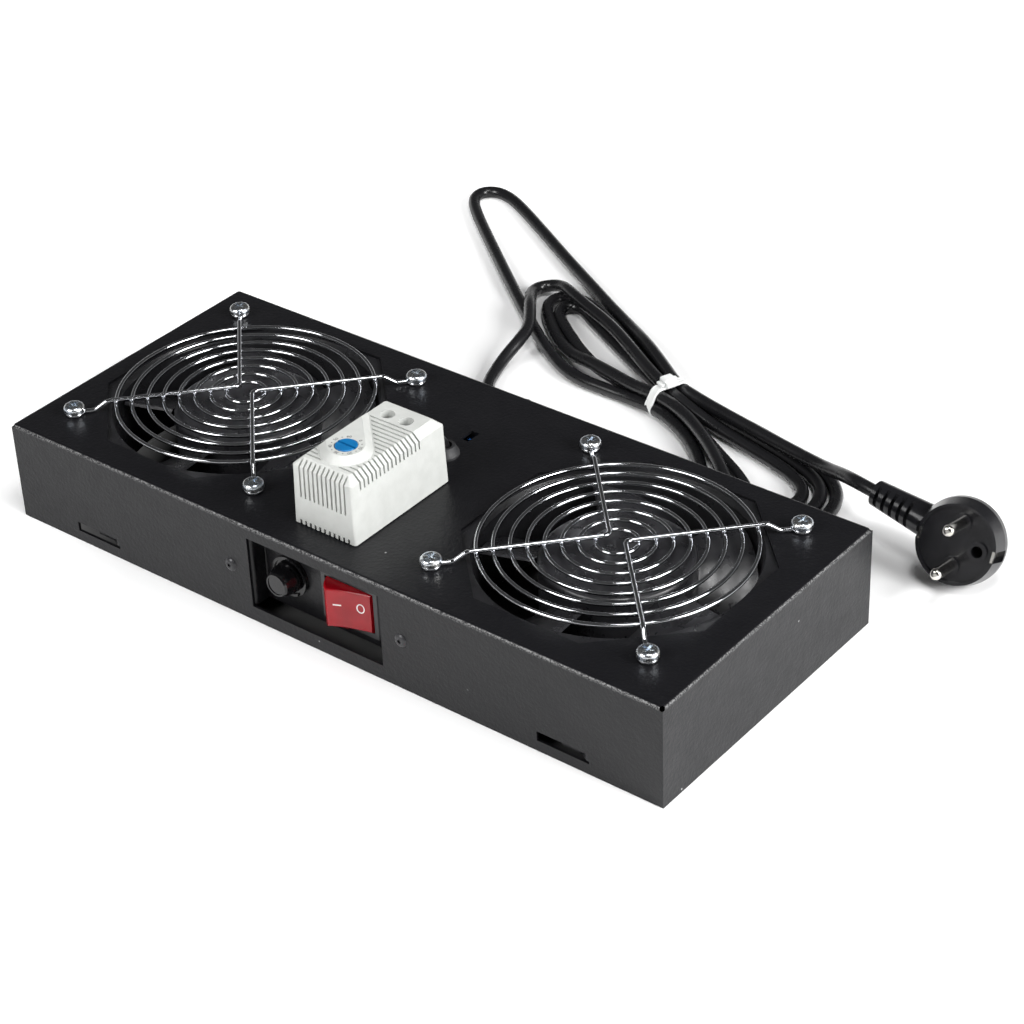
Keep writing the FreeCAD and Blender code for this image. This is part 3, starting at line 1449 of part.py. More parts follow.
# ================================================================ cord
cord_exit_points = [
    (gland_x, gland_outer_end, gland_z), (gland_x, gland_outer_end + 8.0, gland_z),
    (-31.5, 113.5, 17.5), (-42.0, 121.0, 11.5), (-56.0, 124.5, 5.5), (-69.5, 128.5, 3.0),
    (-77.0, 139.0, 3.0), (-80.0, 151.0, 3.0),
]
cord_loop_points = [
    (-95.0, 187.5, 3.0), (-109.0, 197.5, 3.0), (-133.0, 216.0, 3.0), (-158.0, 236.5, 3.0),
    (-176.5, 250.5, 3.0), (-191.4, 262.4, 3.0), (-192.9, 271.9, 3.0), (-187.4, 279.9, 3.0),
    (-178.0, 282.0, 3.0), (-161.0, 273.5, 3.0), (-137.0, 259.5, 3.0), (-110.0, 243.5, 3.0),
    (-86.0, 227.5, 3.0), (-66.0, 215.0, 3.0),
]
cord_plug_points = [
    (86.0, 157.5, 3.0), (96.5, 153.5, 3.0), (108.5, 145.5, 9.5), (119.5, 137.0, 17.0),
]
hank_port = 4.6             # half the width of the bundle's flat where a run meets it


def port(end, ahead):
    """Two corners of the bundle's outline, square to a run that meets it at its end."""
    run = math.hypot(ahead[0] - end[0], ahead[1] - end[1])
    side_x = -(ahead[1] - end[1]) / run * hank_port
    side_y = (ahead[0] - end[0]) / run * hank_port
    return [(end[0] + side_x, end[1] + side_y, 1.0), (end[0] - side_x, end[1] - side_y, 1.0)]


def hank_outline():
    """x, y and corner radius round the tied bundle, from where the gland's run enters it."""
    outline = port(cord_exit_points[-1], cord_exit_points[-2])
    outline += [(-92.5, 170.0, 12.0)]
    outline += port(cord_loop_points[0], cord_loop_points[1])
    outline += [(-103.0, 201.0, 6.0), (-102.0, 215.0, 6.0), (-86.0, 217.0, 8.0)]
    outline += port(cord_loop_points[-1], cord_loop_points[-2])
    outline += [(-46.0, 207.5, 12.0), (-14.0, 188.5, 14.0), (2.0, tie_back, 6.0),
                (26.0, tie_back, 12.0), (60.0, 168.5, 20.0)]
    outline += port(cord_plug_points[0], cord_plug_points[1])
    outline += [(97.0, 147.4, 10.0), (113.0, 137.0, 8.0), (122.5, 125.0, 8.0), (122.0, 109.0, 8.0),
                (104.0, 101.0, 10.0), (78.0, 114.0, 14.0), (52.0, 128.0, 14.0),
                (24.0, tie_front, 10.0), (-8.0, tie_front, 14.0), (-42.0, 146.0, 10.0),
                (-60.0, 155.5, 5.0)]
    return outline


def cord_tube(points):
    vectors = [V(*p) for p in points]
    radii = free_radii(vectors)
    path = rounded_path(vectors, radii)
    tube = swept_round(path, cord_radius)
    expected = math.pi * cord_radius ** 2 * path.Length
    print("cord run %.0f mm, smallest radius %.1f mm, volume ratio %.4f"
          % (path.Length, min(radii), tube.Volume / expected))
    return tube


def closed_rounded_prism(outline, z0, z1):
    """Prism on a closed outline with rounded corners, begun in the middle of its last side."""
    points = [V(x, y, z0) for x, y, radius in outline]
    start = (points[-1] + points[0]) * 0.5
    path = rounded_path([start] + points + [start], [radius for x, y, radius in outline])
    return Part.Face(path).extrude(V(0, 0, z1 - z0))


def cord_hank():
    """Outer shape of the tied bundle: folds at the left, a waist at the tie, turns at the right."""
    hank = closed_rounded_prism(hank_outline(), 0, hank_height)
    half = tie_band_width / 2 + tie_clearance
    groove = box(tie_x - half, tie_front - 5, 0, tie_x + half, tie_back + 5,
                 tie_band_thickness + tie_clearance)
    return hank.cut(groove)


def cable_tie():
    """Nylon tie: band round the bundle's waist, ratchet head on top and the cut end of the tail."""
    half = tie_band_width / 2
    y0, y1 = tie_front - tie_clearance, tie_back + tie_clearance
    z0, z1 = tie_band_thickness, hank_height + tie_clearance
    thick = tie_band_thickness
    outer = box(tie_x - half, y0 - thick, 0, tie_x + half, y1 + thick, z1 + thick)
    outer = outer.makeFillet(thick, [e for e in outer.Edges if e.BoundBox.XLength > half])
    band = outer.cut(box(tie_x - half, y0, z0, tie_x + half, y1, z1))
    head = box(tie_x - tie_head_width / 2, tie_head_y - tie_head_length / 2, z1,
               tie_x + tie_head_width / 2, tie_head_y + tie_head_length / 2, z1 + tie_head_height)
    head = head.makeFillet(0.9, [e for e in head.Edges if e.BoundBox.ZMin > z1 + 0.1])
    slot = box(tie_x - half - 0.2, tie_head_y - thick, z1 + thick + 0.6, tie_x + half + 0.2,
               tie_head_y + thick, z1 + tie_head_height)
    tail = box(tie_x - half, tie_head_y - thick / 2, z1 + thick, tie_x + half, tie_head_y + thick / 2,
               z1 + tie_head_height + tie_tail_length)
    return band.fuse([head.cut(slot), tail]).removeSplitter()


# ================================================================ plug
def plug_frame():
    """Local Z along the pins, local Y from one pin to the other, local X towards the earth socket."""
    turn, lift = math.radians(plug_turn), math.radians(plug_lift)
    pins = V(math.sin(turn) * math.cos(lift), -math.cos(turn) * math.cos(lift), math.sin(lift))
    level = V(math.cos(turn), math.sin(turn), 0)
    upward = level.cross(pins) * -1
    if upward.z < 0:
        upward = upward * -1
    roll = math.radians(plug_roll)
    line = upward * math.cos(roll) + level * math.sin(roll)
    x_way = line.cross(pins)
    origin = V(plug_face_x, plug_face_y, plug_face_z)
    return FreeCAD.Placement(turned_frame(origin, x_way, line))


def grip_axis():
    """Root and free end of the grip's centre line, in the plug's own frame."""
    tilt, yaw = math.radians(grip_tilt), math.radians(grip_yaw)
    way = V(-math.cos(tilt) * math.cos(yaw), math.cos(tilt) * math.sin(yaw), -math.sin(tilt))
    root = V(0, 0, -grip_back)
    return root, root + way * grip_reach, way


def plug_body():
    """Moulded body: round head with a rimmed face, clip recesses, earth socket and ribbed grip."""
    stations = [(0, -plug_rim), (plug_face_radius - plug_rim, -plug_rim), (plug_face_radius - plug_rim, 0),
                (plug_face_radius, 0), (plug_radius, -plug_shoulder), (plug_radius, -plug_shoulder - 3.0),
                (plug_back_radius, -plug_thickness), (0, -plug_thickness)]
    profile = [V(r, 0, z) for r, z in stations]
    head = Part.Face(Part.makePolygon(profile + profile[:1])).revolve(V(0, 0, 0), Z_AXIS, 360)
    root, end, way = grip_axis()
    grip = cone(grip_root_radius, grip_tip_radius, root, end)
    grip = grip.cut(grip_slots(end, way)).cut(Part.makeBox(60, 60, 30, V(-30, -30, -plug_rim)))
    body = head.fuse(grip)
    for y in (-plug_pin_pitch / 2, plug_pin_pitch / 2):
        body = body.fuse(cylinder(plug_collar_radius, V(0, y, -plug_rim - 0.2),
                                  V(0, y, plug_collar_height - plug_rim)))
    body = body.fuse(cylinder(earth_boss_radius, V(earth_socket_offset, 0, -plug_rim - 0.2),
                              V(earth_socket_offset, 0, 0)))
    cuts = [cylinder(earth_socket_radius, V(earth_socket_offset, 0, -earth_socket_depth),
                     V(earth_socket_offset, 0, 1))]
    for y in (-plug_pin_pitch / 2, plug_pin_pitch / 2):
        cuts.append(cylinder(plug_pin_radius, V(0, y, -plug_shoulder), V(0, y, 2)))
    for sign in (-1, 1):
        near, far = plug_face_radius - clip_recess, plug_radius + 1
        x0, x1 = sorted((sign * near, sign * far))
        cuts.append(box(x0, -clip_width / 2, -clip_length, x1, clip_width / 2, 1))
    body = body.cut(cuts).removeSplitter()
    body.Placement = plug_frame()
    return body


def grip_slots(end, way):
    """Bending slots cut into both flat sides of the grip, near the cord."""
    side = way.cross(Z_AXIS.cross(way)).normalize()
    slots = []
    for i in range(grip_slot_count):
        middle = end - way * (3.2 + i * grip_slot_pitch)
        for sign in (-1, 1):
            start = middle + side * (sign * (grip_tip_radius - 1.9))
            block = box(-grip_slot_width / 2, 0, -2 * grip_tip_radius, grip_slot_width / 2,
                        2 * grip_tip_radius, 2 * grip_tip_radius)
            block.Placement = FreeCAD.Placement(turned_frame(start, way, side * sign))
            slots.append(block)
    return slots


def plug_pins():
    """Two round pins with rounded tips."""
    pins = []
    for y in (-plug_pin_pitch / 2, plug_pin_pitch / 2):
        pin = cylinder(plug_pin_radius, V(0, y, -plug_shoulder), V(0, y, plug_pin_length))
        tip = [e for e in pin.Edges if e.BoundBox.ZMin > plug_pin_length - 0.01]
        pin = pin.makeFillet(0.7 * plug_pin_radius, tip)
        pin.Placement = plug_frame()
        pins.append(pin)
    return group(pins)


def plug_earth_clips():
    """Two sprung earth strips, one in each side recess."""
    clips = []
    for sign in (-1, 1):
        seat = plug_face_radius - clip_recess
        x0, x1 = sorted((sign * seat, sign * (seat + clip_thickness)))
        clip = box(x0, -clip_width / 2, -clip_length, x1, clip_width / 2, -0.4)
        clip.Placement = plug_frame()
        clips.append(clip)
    return group(clips)


def cord_plug_tube():
    """From the bundle up to the grip, which it enters along the grip's own axis."""
    root, end, way = grip_axis()
    frame = plug_frame()
    entry = frame.multVec(end)
    ahead = frame.multVec(end + way * 10.0)
    return cord_tube(cord_plug_points + [tuple(ahead), tuple(entry)])


nodes = {}


def add(name, shape):
    nodes[name] = shape


def build():
    add("tray_chassis", tray_chassis())
    add("switch_bracket", switch_bracket())
    add("bracket_rivets", group([blind_rivet(-rivet_pitch / 2), blind_rivet(rivet_pitch / 2)]))
    for side in ("left", "right"):
        add("fan_frame_" + side, fan_frame(side))
        add("impeller_" + side, impeller(side))
        add("rotor_cup_" + side, rotor_cup(side))
        add("rotor_shaft_" + side, rotor_shaft(side))
        add("finger_guard_" + side, finger_guard(side))
    add("fan_bearings", fan_bearings())
    cores = {side: stator_core(side) for side in ("left", "right")}
    add("stator_cores", group(list(cores.values())))
    windings = stator_windings("left", cores["left"]) + stator_windings("right", cores["right"])
    add("stator_windings", group(windings))
    add("fan_spades", group(fan_spades("left") + fan_spades("right")))
    add("guard_screws", guard_screws())
    add("guard_washers", guard_washers())
    add("guard_nuts", guard_nuts())
    housing, pocket_floor = rocker_housing()
    add("rocker_housing", housing)
    add("rocker", rocker())
    add("rocker_lamp", rocker_lamp(pocket_floor))
    add("rocker_terminals", rocker_terminals())
    add("fuse_holder_body", fuse_holder_body())
    add("fuse_holder_nut", fuse_holder_nut())
    add("fuse_holder_terminals", fuse_holder_terminals())
    add("fuse_cap", fuse_cap())
    add("fuse_end_caps", fuse_end_caps())
    add("fuse_glass", fuse_glass())
    add("thermostat_cover", thermostat_cover())
    add("thermostat_base", thermostat_base())
    add("thermostat_latch", thermostat_latch())
    add("thermostat_screws", thermostat_screws())
    add("thermostat_bimetal", thermostat_bimetal())
    add("thermostat_dial", thermostat_dial())
    add("plate_grommet", plate_grommet())
    add("cord_gland", cord_gland())
    add("wide_receptacles", wide_receptacles())
    add("narrow_receptacles", narrow_receptacles())
    add("lead_live", lead_live())
    add("lead_neutral", lead_neutral())
    add("lead_earth", lead_earth())
    add("lead_fuse_switch", lead_fuse_switch())
    add("lead_switch_thermostat", lead_switch_thermostat())
    add("lead_thermostat_fan", lead_thermostat_fan())
    add("lead_switch_fan", lead_switch_fan())
    add("lead_fans_front", lead_fan_fan("front", core_radius))
    add("lead_fans_back", lead_fan_fan("back", -core_radius))
    add("lead_thermostat", lead_thermostat())
    add("cord_inner", cord_inner())
    add("cord_exit", cord_tube(cord_exit_points))
    add("cord_hank", cord_hank())
    add("cord_loop", cord_tube(cord_loop_points))
    add("cord_plug_run", cord_plug_tube())
    add("cable_tie", cable_tie())
    add("plug_body", plug_body())
    add("plug_pins", plug_pins())
    add("plug_earth_clips", plug_earth_clips())


build()
os.makedirs("parts", exist_ok=True)
for name, shape in nodes.items():
    for solid in shape.Solids:
        if not solid.isValid():
            print("invalid solid in", name)
    print("%-24s solids %2d volume %10.1f" % (name, len(shape.Solids), shape.Volume))
    shape.exportStep("parts/%s.step" % name)
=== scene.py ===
"""Looks of the rack fan tray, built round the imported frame. Units are metres."""
import math

import bpy
from mathutils import Matrix, Vector
from mathutils.bvhtree import BVHTree


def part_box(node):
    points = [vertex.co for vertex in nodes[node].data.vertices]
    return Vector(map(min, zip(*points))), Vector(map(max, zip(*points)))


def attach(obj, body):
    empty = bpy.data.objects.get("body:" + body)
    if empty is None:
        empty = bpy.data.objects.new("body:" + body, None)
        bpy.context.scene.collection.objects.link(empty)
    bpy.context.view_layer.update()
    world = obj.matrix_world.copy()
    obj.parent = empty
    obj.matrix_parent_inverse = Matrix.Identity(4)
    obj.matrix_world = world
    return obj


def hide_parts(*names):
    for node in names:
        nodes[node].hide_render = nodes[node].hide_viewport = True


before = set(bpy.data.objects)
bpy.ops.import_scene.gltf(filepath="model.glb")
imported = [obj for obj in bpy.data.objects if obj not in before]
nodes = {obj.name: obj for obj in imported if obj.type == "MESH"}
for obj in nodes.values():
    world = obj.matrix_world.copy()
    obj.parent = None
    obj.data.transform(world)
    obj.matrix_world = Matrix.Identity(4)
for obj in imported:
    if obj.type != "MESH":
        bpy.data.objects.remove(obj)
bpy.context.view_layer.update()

scene = bpy.context.scene
MM = 0.001


# ================================================================ camera
camera_place = (0.6298, -0.7100, 0.6588)
camera_azimuth = 39.44          # degrees round from straight in front
camera_elevation = 33.71
camera_roll = -2.46
camera_lens = 95.75             # on a 36 mm sensor


def make_camera():
    data = bpy.data.cameras.new("camera")
    data.lens = camera_lens
    data.sensor_width = 36
    data.clip_end = 20
    camera = bpy.data.objects.new("camera", data)
    scene.collection.objects.link(camera)
    around, up = math.radians(camera_azimuth), math.radians(camera_elevation)
    back = Vector((math.sin(around) * math.cos(up), -math.cos(around) * math.cos(up), math.sin(up)))
    right = Vector((0, 0, 1)).cross(back).normalized()
    above = back.cross(right)
    turn = math.radians(camera_roll)
    right_now = right * math.cos(turn) + above * math.sin(turn)
    above_now = above * math.cos(turn) - right * math.sin(turn)
    basis = Matrix((right_now, above_now, back)).transposed().to_4x4()
    camera.matrix_world = Matrix.Translation(camera_place) @ basis
    scene.camera = camera


make_camera()


# ================================================================ cord
cord_diameter = 0.006

# One route from the gland to the plug, in millimetres, by points given one by one. The bundle's seven
# strands cross the cable tie at x = 9, three of them on top.
cord_route = [
    # out of the gland, down to the floor and along the back wall
    (-28, 97, 20), (-28.5, 104, 18.5), (-33, 109.5, 12), (-41.5, 112.5, 6.5), (-52, 113.5, 3.5),
    (-62, 117.5, 3), (-70, 126.5, 3), (-75, 139, 3), (-76.5, 150, 6), (-76.5, 161, 9.5), (-80, 171.5, 9.5),
    # first fold at the left, over the large loop
    (-87, 181.5, 9.5), (-94.5, 191, 9), (-101, 200, 6.5), (-105.5, 206.5, 4.5), (-106, 212.5, 4),
    (-102, 217, 4.5), (-95, 217, 6.5), (-86, 211.5, 9), (-73, 205, 9.5),
    (-50, 196, 9.3), (-30, 184.5, 9.3), (-10, 172.5, 9), (9, 162, 9.3),
    # inner turn behind the tray
    (24, 158, 6.5), (40, 155.5, 3.5), (58, 151.5, 3), (76, 147, 3), (92, 141.5, 3), (101.5, 133, 3),
    (102.5, 122, 3), (95, 114.5, 3), (84, 117.5, 3), (71, 128, 3), (57, 136, 3), (42, 144.5, 3),
    (25, 154.5, 3), (9, 159, 4.1),
    # inner fold
    (-8, 161.5, 3), (-22, 164.5, 3), (-38, 168.5, 3), (-54, 177, 3), (-67, 186, 3), (-76, 192.5, 3),
    (-82.5, 198, 3), (-85, 204, 3), (-81.5, 209, 3), (-75, 208.5, 3), (-66, 203, 3), (-50, 194.5, 3),
    (-30, 184, 3), (-10, 174.5, 3), (9, 165, 4.1),
    # middle turn
    (26, 163, 3), (44, 161, 3), (62, 157.5, 3), (80, 153, 3), (95, 148, 3), (106, 140, 3),
    (110.5, 129, 3), (109.5, 116, 3), (101.5, 107, 3), (90, 105, 3), (79, 109.5, 4.5), (69, 118.5, 8.5),
    (57, 129, 8.8), (43, 140, 8.5), (26, 150.5, 8.5), (9, 156, 9.3),
    # middle fold
    (-8, 157.5, 8.3), (-24, 161, 8.3), (-38, 164.5, 7.5), (-51, 169, 4.5), (-64, 176, 3),
    (-76, 185, 3), (-87, 195, 3), (-93, 203, 3), (-93, 211.5, 3), (-85.5, 216.5, 3), (-71, 213.5, 3),
    (-51, 203, 3), (-31, 191.5, 3), (-10, 181, 3), (9, 171, 4.1),
    # outer turn
    (26, 168.5, 3), (44, 166.5, 3), (62, 163, 3), (80, 158.5, 3), (97, 153.5, 3), (110, 145.5, 3),
    (117, 134, 3), (118.5, 121, 3), (115.5, 108, 3), (107, 99, 3), (95, 96.5, 3), (81, 100, 3),
    (68, 108, 3), (56, 121, 3), (42, 135.5, 3), (26, 146.5, 3), (9, 153, 4.1),
    (-8, 155, 3), (-22, 155, 3), (-35, 155, 3), (-48, 158, 3), (-62, 165.5, 3), (-77, 175.5, 3),
    # the large loop
    (-95, 189, 3), (-109, 200, 3), (-133, 219, 3), (-158, 239, 3), (-176.5, 254, 3),
    (-189, 265, 3), (-194.5, 272.5, 3), (-194, 280, 3), (-187, 284, 3), (-176, 281.5, 3), (-160, 273, 3),
    (-137, 259.5, 3), (-110, 243.5, 3), (-86, 230, 3), (-66, 218.5, 3), (-46, 207, 4),
    (-26, 193, 8), (-8, 180.5, 8.8), (9, 168, 9.3),
    # to the plug
    (24, 164.5, 8.5), (42, 160.5, 8.5), (60, 156.5, 8.8), (78, 152.5, 9), (94, 149, 9.5),
    (107, 143.5, 12.5),
    (119.5, 135.5, 18.5),
    # into the plug's grip
    (130.9, 128.3, 22.8), (140.8, 127.2, 21.9),
]


def curve_piece(name, points, radius):
    """One open NURBS spline through listed control points, with the given thickness."""
    data = bpy.data.curves.new(name, "CURVE")
    data.dimensions = "3D"
    spline = data.splines.new("NURBS")
    spline.points.add(len(points) - 1)
    for point, place in zip(spline.points, points):
        point.co = (place[0] * MM, place[1] * MM, place[2] * MM, 1)
    spline.order_u = 3
    spline.use_endpoint_u = True
    spline.resolution_u = 8
    data.bevel_depth = radius
    data.bevel_resolution = 5
    data.use_fill_caps = True
    piece = bpy.data.objects.new(name, data)
    scene.collection.objects.link(piece)
    return piece


mains_cord = curve_piece("mains_cord", cord_route, cord_diameter / 2)


# ================================================================ node materials
class Maker:
    """Short hands for a node tree. Textures use object coordinates, in metres."""

    def __init__(self, name):
        self.material = bpy.data.materials.new(name)
        self.material.use_nodes = True
        self.tree = self.material.node_tree
        self.shader = self.tree.nodes["Principled BSDF"]
        self.place = self.add("ShaderNodeTexCoord").outputs["Object"]

    def add(self, kind, **values):
        node = self.tree.nodes.new(kind)
        for key, value in values.items():
            setattr(node, key, value)
        return node

    def link(self, source, target):
        self.tree.links.new(source, target)

    def feed(self, socket, value):
        if isinstance(value, bpy.types.NodeSocket):
            self.link(value, socket)
        else:
            socket.default_value = value

    def noise(self, scale, detail=2.0, rough=0.5):
        node = self.add("ShaderNodeTexNoise")
        self.link(self.place, node.inputs["Vector"])
        node.inputs["Scale"].default_value = scale
        node.inputs["Detail"].default_value = detail
        node.inputs["Roughness"].default_value = rough
        return node.outputs["Fac"]

    def cells(self, scale):
        node = self.add("ShaderNodeTexVoronoi")
        self.link(self.place, node.inputs["Vector"])
        node.inputs["Scale"].default_value = scale
        return node.outputs["Distance"]

    def ramp(self, value, low, high, low_value=0.0, high_value=1.0):
        """Clamped line from low_value at low to high_value at high."""
        node = self.add("ShaderNodeMapRange", clamp=True)
        self.feed(node.inputs["Value"], value)
        node.inputs["From Min"].default_value = low
        node.inputs["From Max"].default_value = high
        node.inputs["To Min"].default_value = low_value
        node.inputs["To Max"].default_value = high_value
        return node.outputs["Result"]

    def math(self, operation, a, b=0.0):
        node = self.add("ShaderNodeMath", operation=operation)
        self.feed(node.inputs[0], a)
        self.feed(node.inputs[1], b)
        return node.outputs["Value"]

    def axis(self, name):
        node = self.add("ShaderNodeSeparateXYZ")
        self.link(self.place, node.inputs["Vector"])
        return node.outputs[name]

    def blend(self, factor, a, b):
        node = self.add("ShaderNodeMix", data_type="RGBA")
        self.feed(node.inputs[0], factor)
        for socket, value in ((node.inputs[6], a), (node.inputs[7], b)):
            self.feed(socket, value if isinstance(value, bpy.types.NodeSocket) else (*value, 1))
        return node.outputs[2]

    def bump(self, height, strength, distance):
        node = self.add("ShaderNodeBump")
        self.link(height, node.inputs["Height"])
        node.inputs["Strength"].default_value = strength
        node.inputs["Distance"].default_value = distance
        self.link(node.outputs["Normal"], self.shader.inputs["Normal"])

    def set(self, **values):
        for key, value in values.items():
            socket = self.shader.inputs[key.replace("_", " ")]
            if isinstance(value, tuple):
                value = (*value, 1)
            self.feed(socket, value)


def plain(name, colour, shade, roughness, spread, grain, bump, metallic=0.0, level=0.5):
    """Two-tone mottled finish with grain: moulded plastic, rubber or metal."""
    m = Maker(name)
    mottle = m.ramp(m.noise(grain * 0.13, 3), 0.35, 0.65)
    m.set(Base_Color=m.blend(mottle, colour, shade), Metallic=metallic)
    m.set(Roughness=m.ramp(m.noise(grain * 0.4, 3), 0.3, 0.7, roughness - spread, roughness + spread))
    m.set(Specular_IOR_Level=level)
    m.bump(m.noise(grain, 3), bump, 0.0001)
    return m


tray_low, tray_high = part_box("tray_chassis")
tray_front, tray_right, tray_top = tray_low.y, tray_high.x, tray_high.z


def powder_coat(name, colour, wear_and_highlight_colour):
    """Baked powder: orange peel, a pale rim along the top front and right bends that is partly rubbed wear
    and partly painted highlight, a few specks of dust.
    """
    m = Maker(name)
    peel = m.noise(620, 2, 0.55)
    fine = m.noise(2400, 2)
    dust = m.ramp(m.cells(95), 0.05, 0.03)
    rare = m.ramp(m.noise(45, 2), 0.60, 0.64)
    specks = m.math("MULTIPLY", dust, rare)
    z, y, x = m.axis("Z"), m.axis("Y"), m.axis("X")
    # the pale rim stays on the top front and top right bends, the edges that face the lamps: partly rubbed
    # wear, partly painted highlight
    near_top = m.ramp(z, tray_top - 0.0018, tray_top - 0.0004)
    near_front = m.ramp(m.math("SUBTRACT", y, tray_front), 0.0009, 0.0005)
    near_right = m.ramp(m.math("SUBTRACT", tray_right, x), 0.0008, 0.0004)
    bend = m.math("MULTIPLY", near_top, m.math("MAXIMUM", near_front, near_right))
    rubbed_and_highlit_bends = m.math("MULTIPLY", bend, m.ramp(m.noise(1700, 3, 0.6), 0.42, 0.62))
    base = m.blend(m.noise(30, 3), colour, tuple(v * 1.25 for v in colour))
    base = m.blend(rubbed_and_highlit_bends, base, wear_and_highlight_colour)
    base = m.blend(specks, base, (0.45, 0.45, 0.45))
    m.set(Base_Color=base, Specular_IOR_Level=0.28)
    m.set(Roughness=m.ramp(m.noise(160, 3), 0.3, 0.7, 0.30, 0.40))
    m.bump(m.math("ADD", peel, m.math("MULTIPLY", fine, 0.30)), 0.40, 0.00032)
    return m


def chrome(name):
    """Bright plated wire with duller patches."""
    m = Maker(name)
    m.set(Base_Color=m.blend(m.noise(60, 3), (0.66, 0.67, 0.69), (0.50, 0.51, 0.54)), Metallic=1.0)
    m.set(Roughness=m.ramp(m.noise(240, 4), 0.3, 0.7, 0.06, 0.14))
    m.bump(m.noise(900, 2), 0.08, 0.00005)
    return m


def zinc(name):
    """Blue zinc plating, slightly cloudy."""
    m = Maker(name)
    cloudy = m.ramp(m.noise(320, 3), 0.35, 0.65)
    m.set(Base_Color=m.blend(cloudy, (0.66, 0.72, 0.80), (0.80, 0.80, 0.78)), Metallic=1.0)
    m.set(Roughness=m.ramp(m.noise(900, 3), 0.3, 0.7, 0.18, 0.34))
    m.bump(m.noise(2600, 3), 0.15, 0.00005)
    return m


def jacket(name, colour, shade):
    """Glossy PVC sheath with faint waves from extrusion."""
    m = Maker(name)
    m.set(Base_Color=m.blend(m.noise(70, 3), colour, shade))
    m.set(Roughness=m.ramp(m.noise(90, 3), 0.3, 0.7, 0.24, 0.31), Specular_IOR_Level=0.5)
    m.bump(m.noise(300, 1), 0.05, 0.0002)
    return m


def see_through(name, colour, roughness, transmission, grain):
    """Tinted clear moulding."""
    m = plain(name, colour, tuple(v * 0.8 for v in colour), roughness, 0.03, grain, 0.05)
    m.set(Transmission_Weight=transmission, IOR=1.49)
    return m


def striped(name, first, second):
    """Two-colour core: stripes along the lead."""
    m = Maker(name)
    wave = m.add("ShaderNodeTexWave", wave_type="BANDS", bands_direction="DIAGONAL")
    m.link(m.place, wave.inputs["Vector"])
    wave.inputs["Scale"].default_value = 90
    m.set(Base_Color=m.blend(m.ramp(wave.outputs["Fac"], 0.45, 0.55), first, second))
    m.set(Roughness=m.ramp(m.noise(300, 3), 0.3, 0.7, 0.32, 0.44))
    m.bump(m.noise(900, 2), 0.1, 0.0001)
    return m


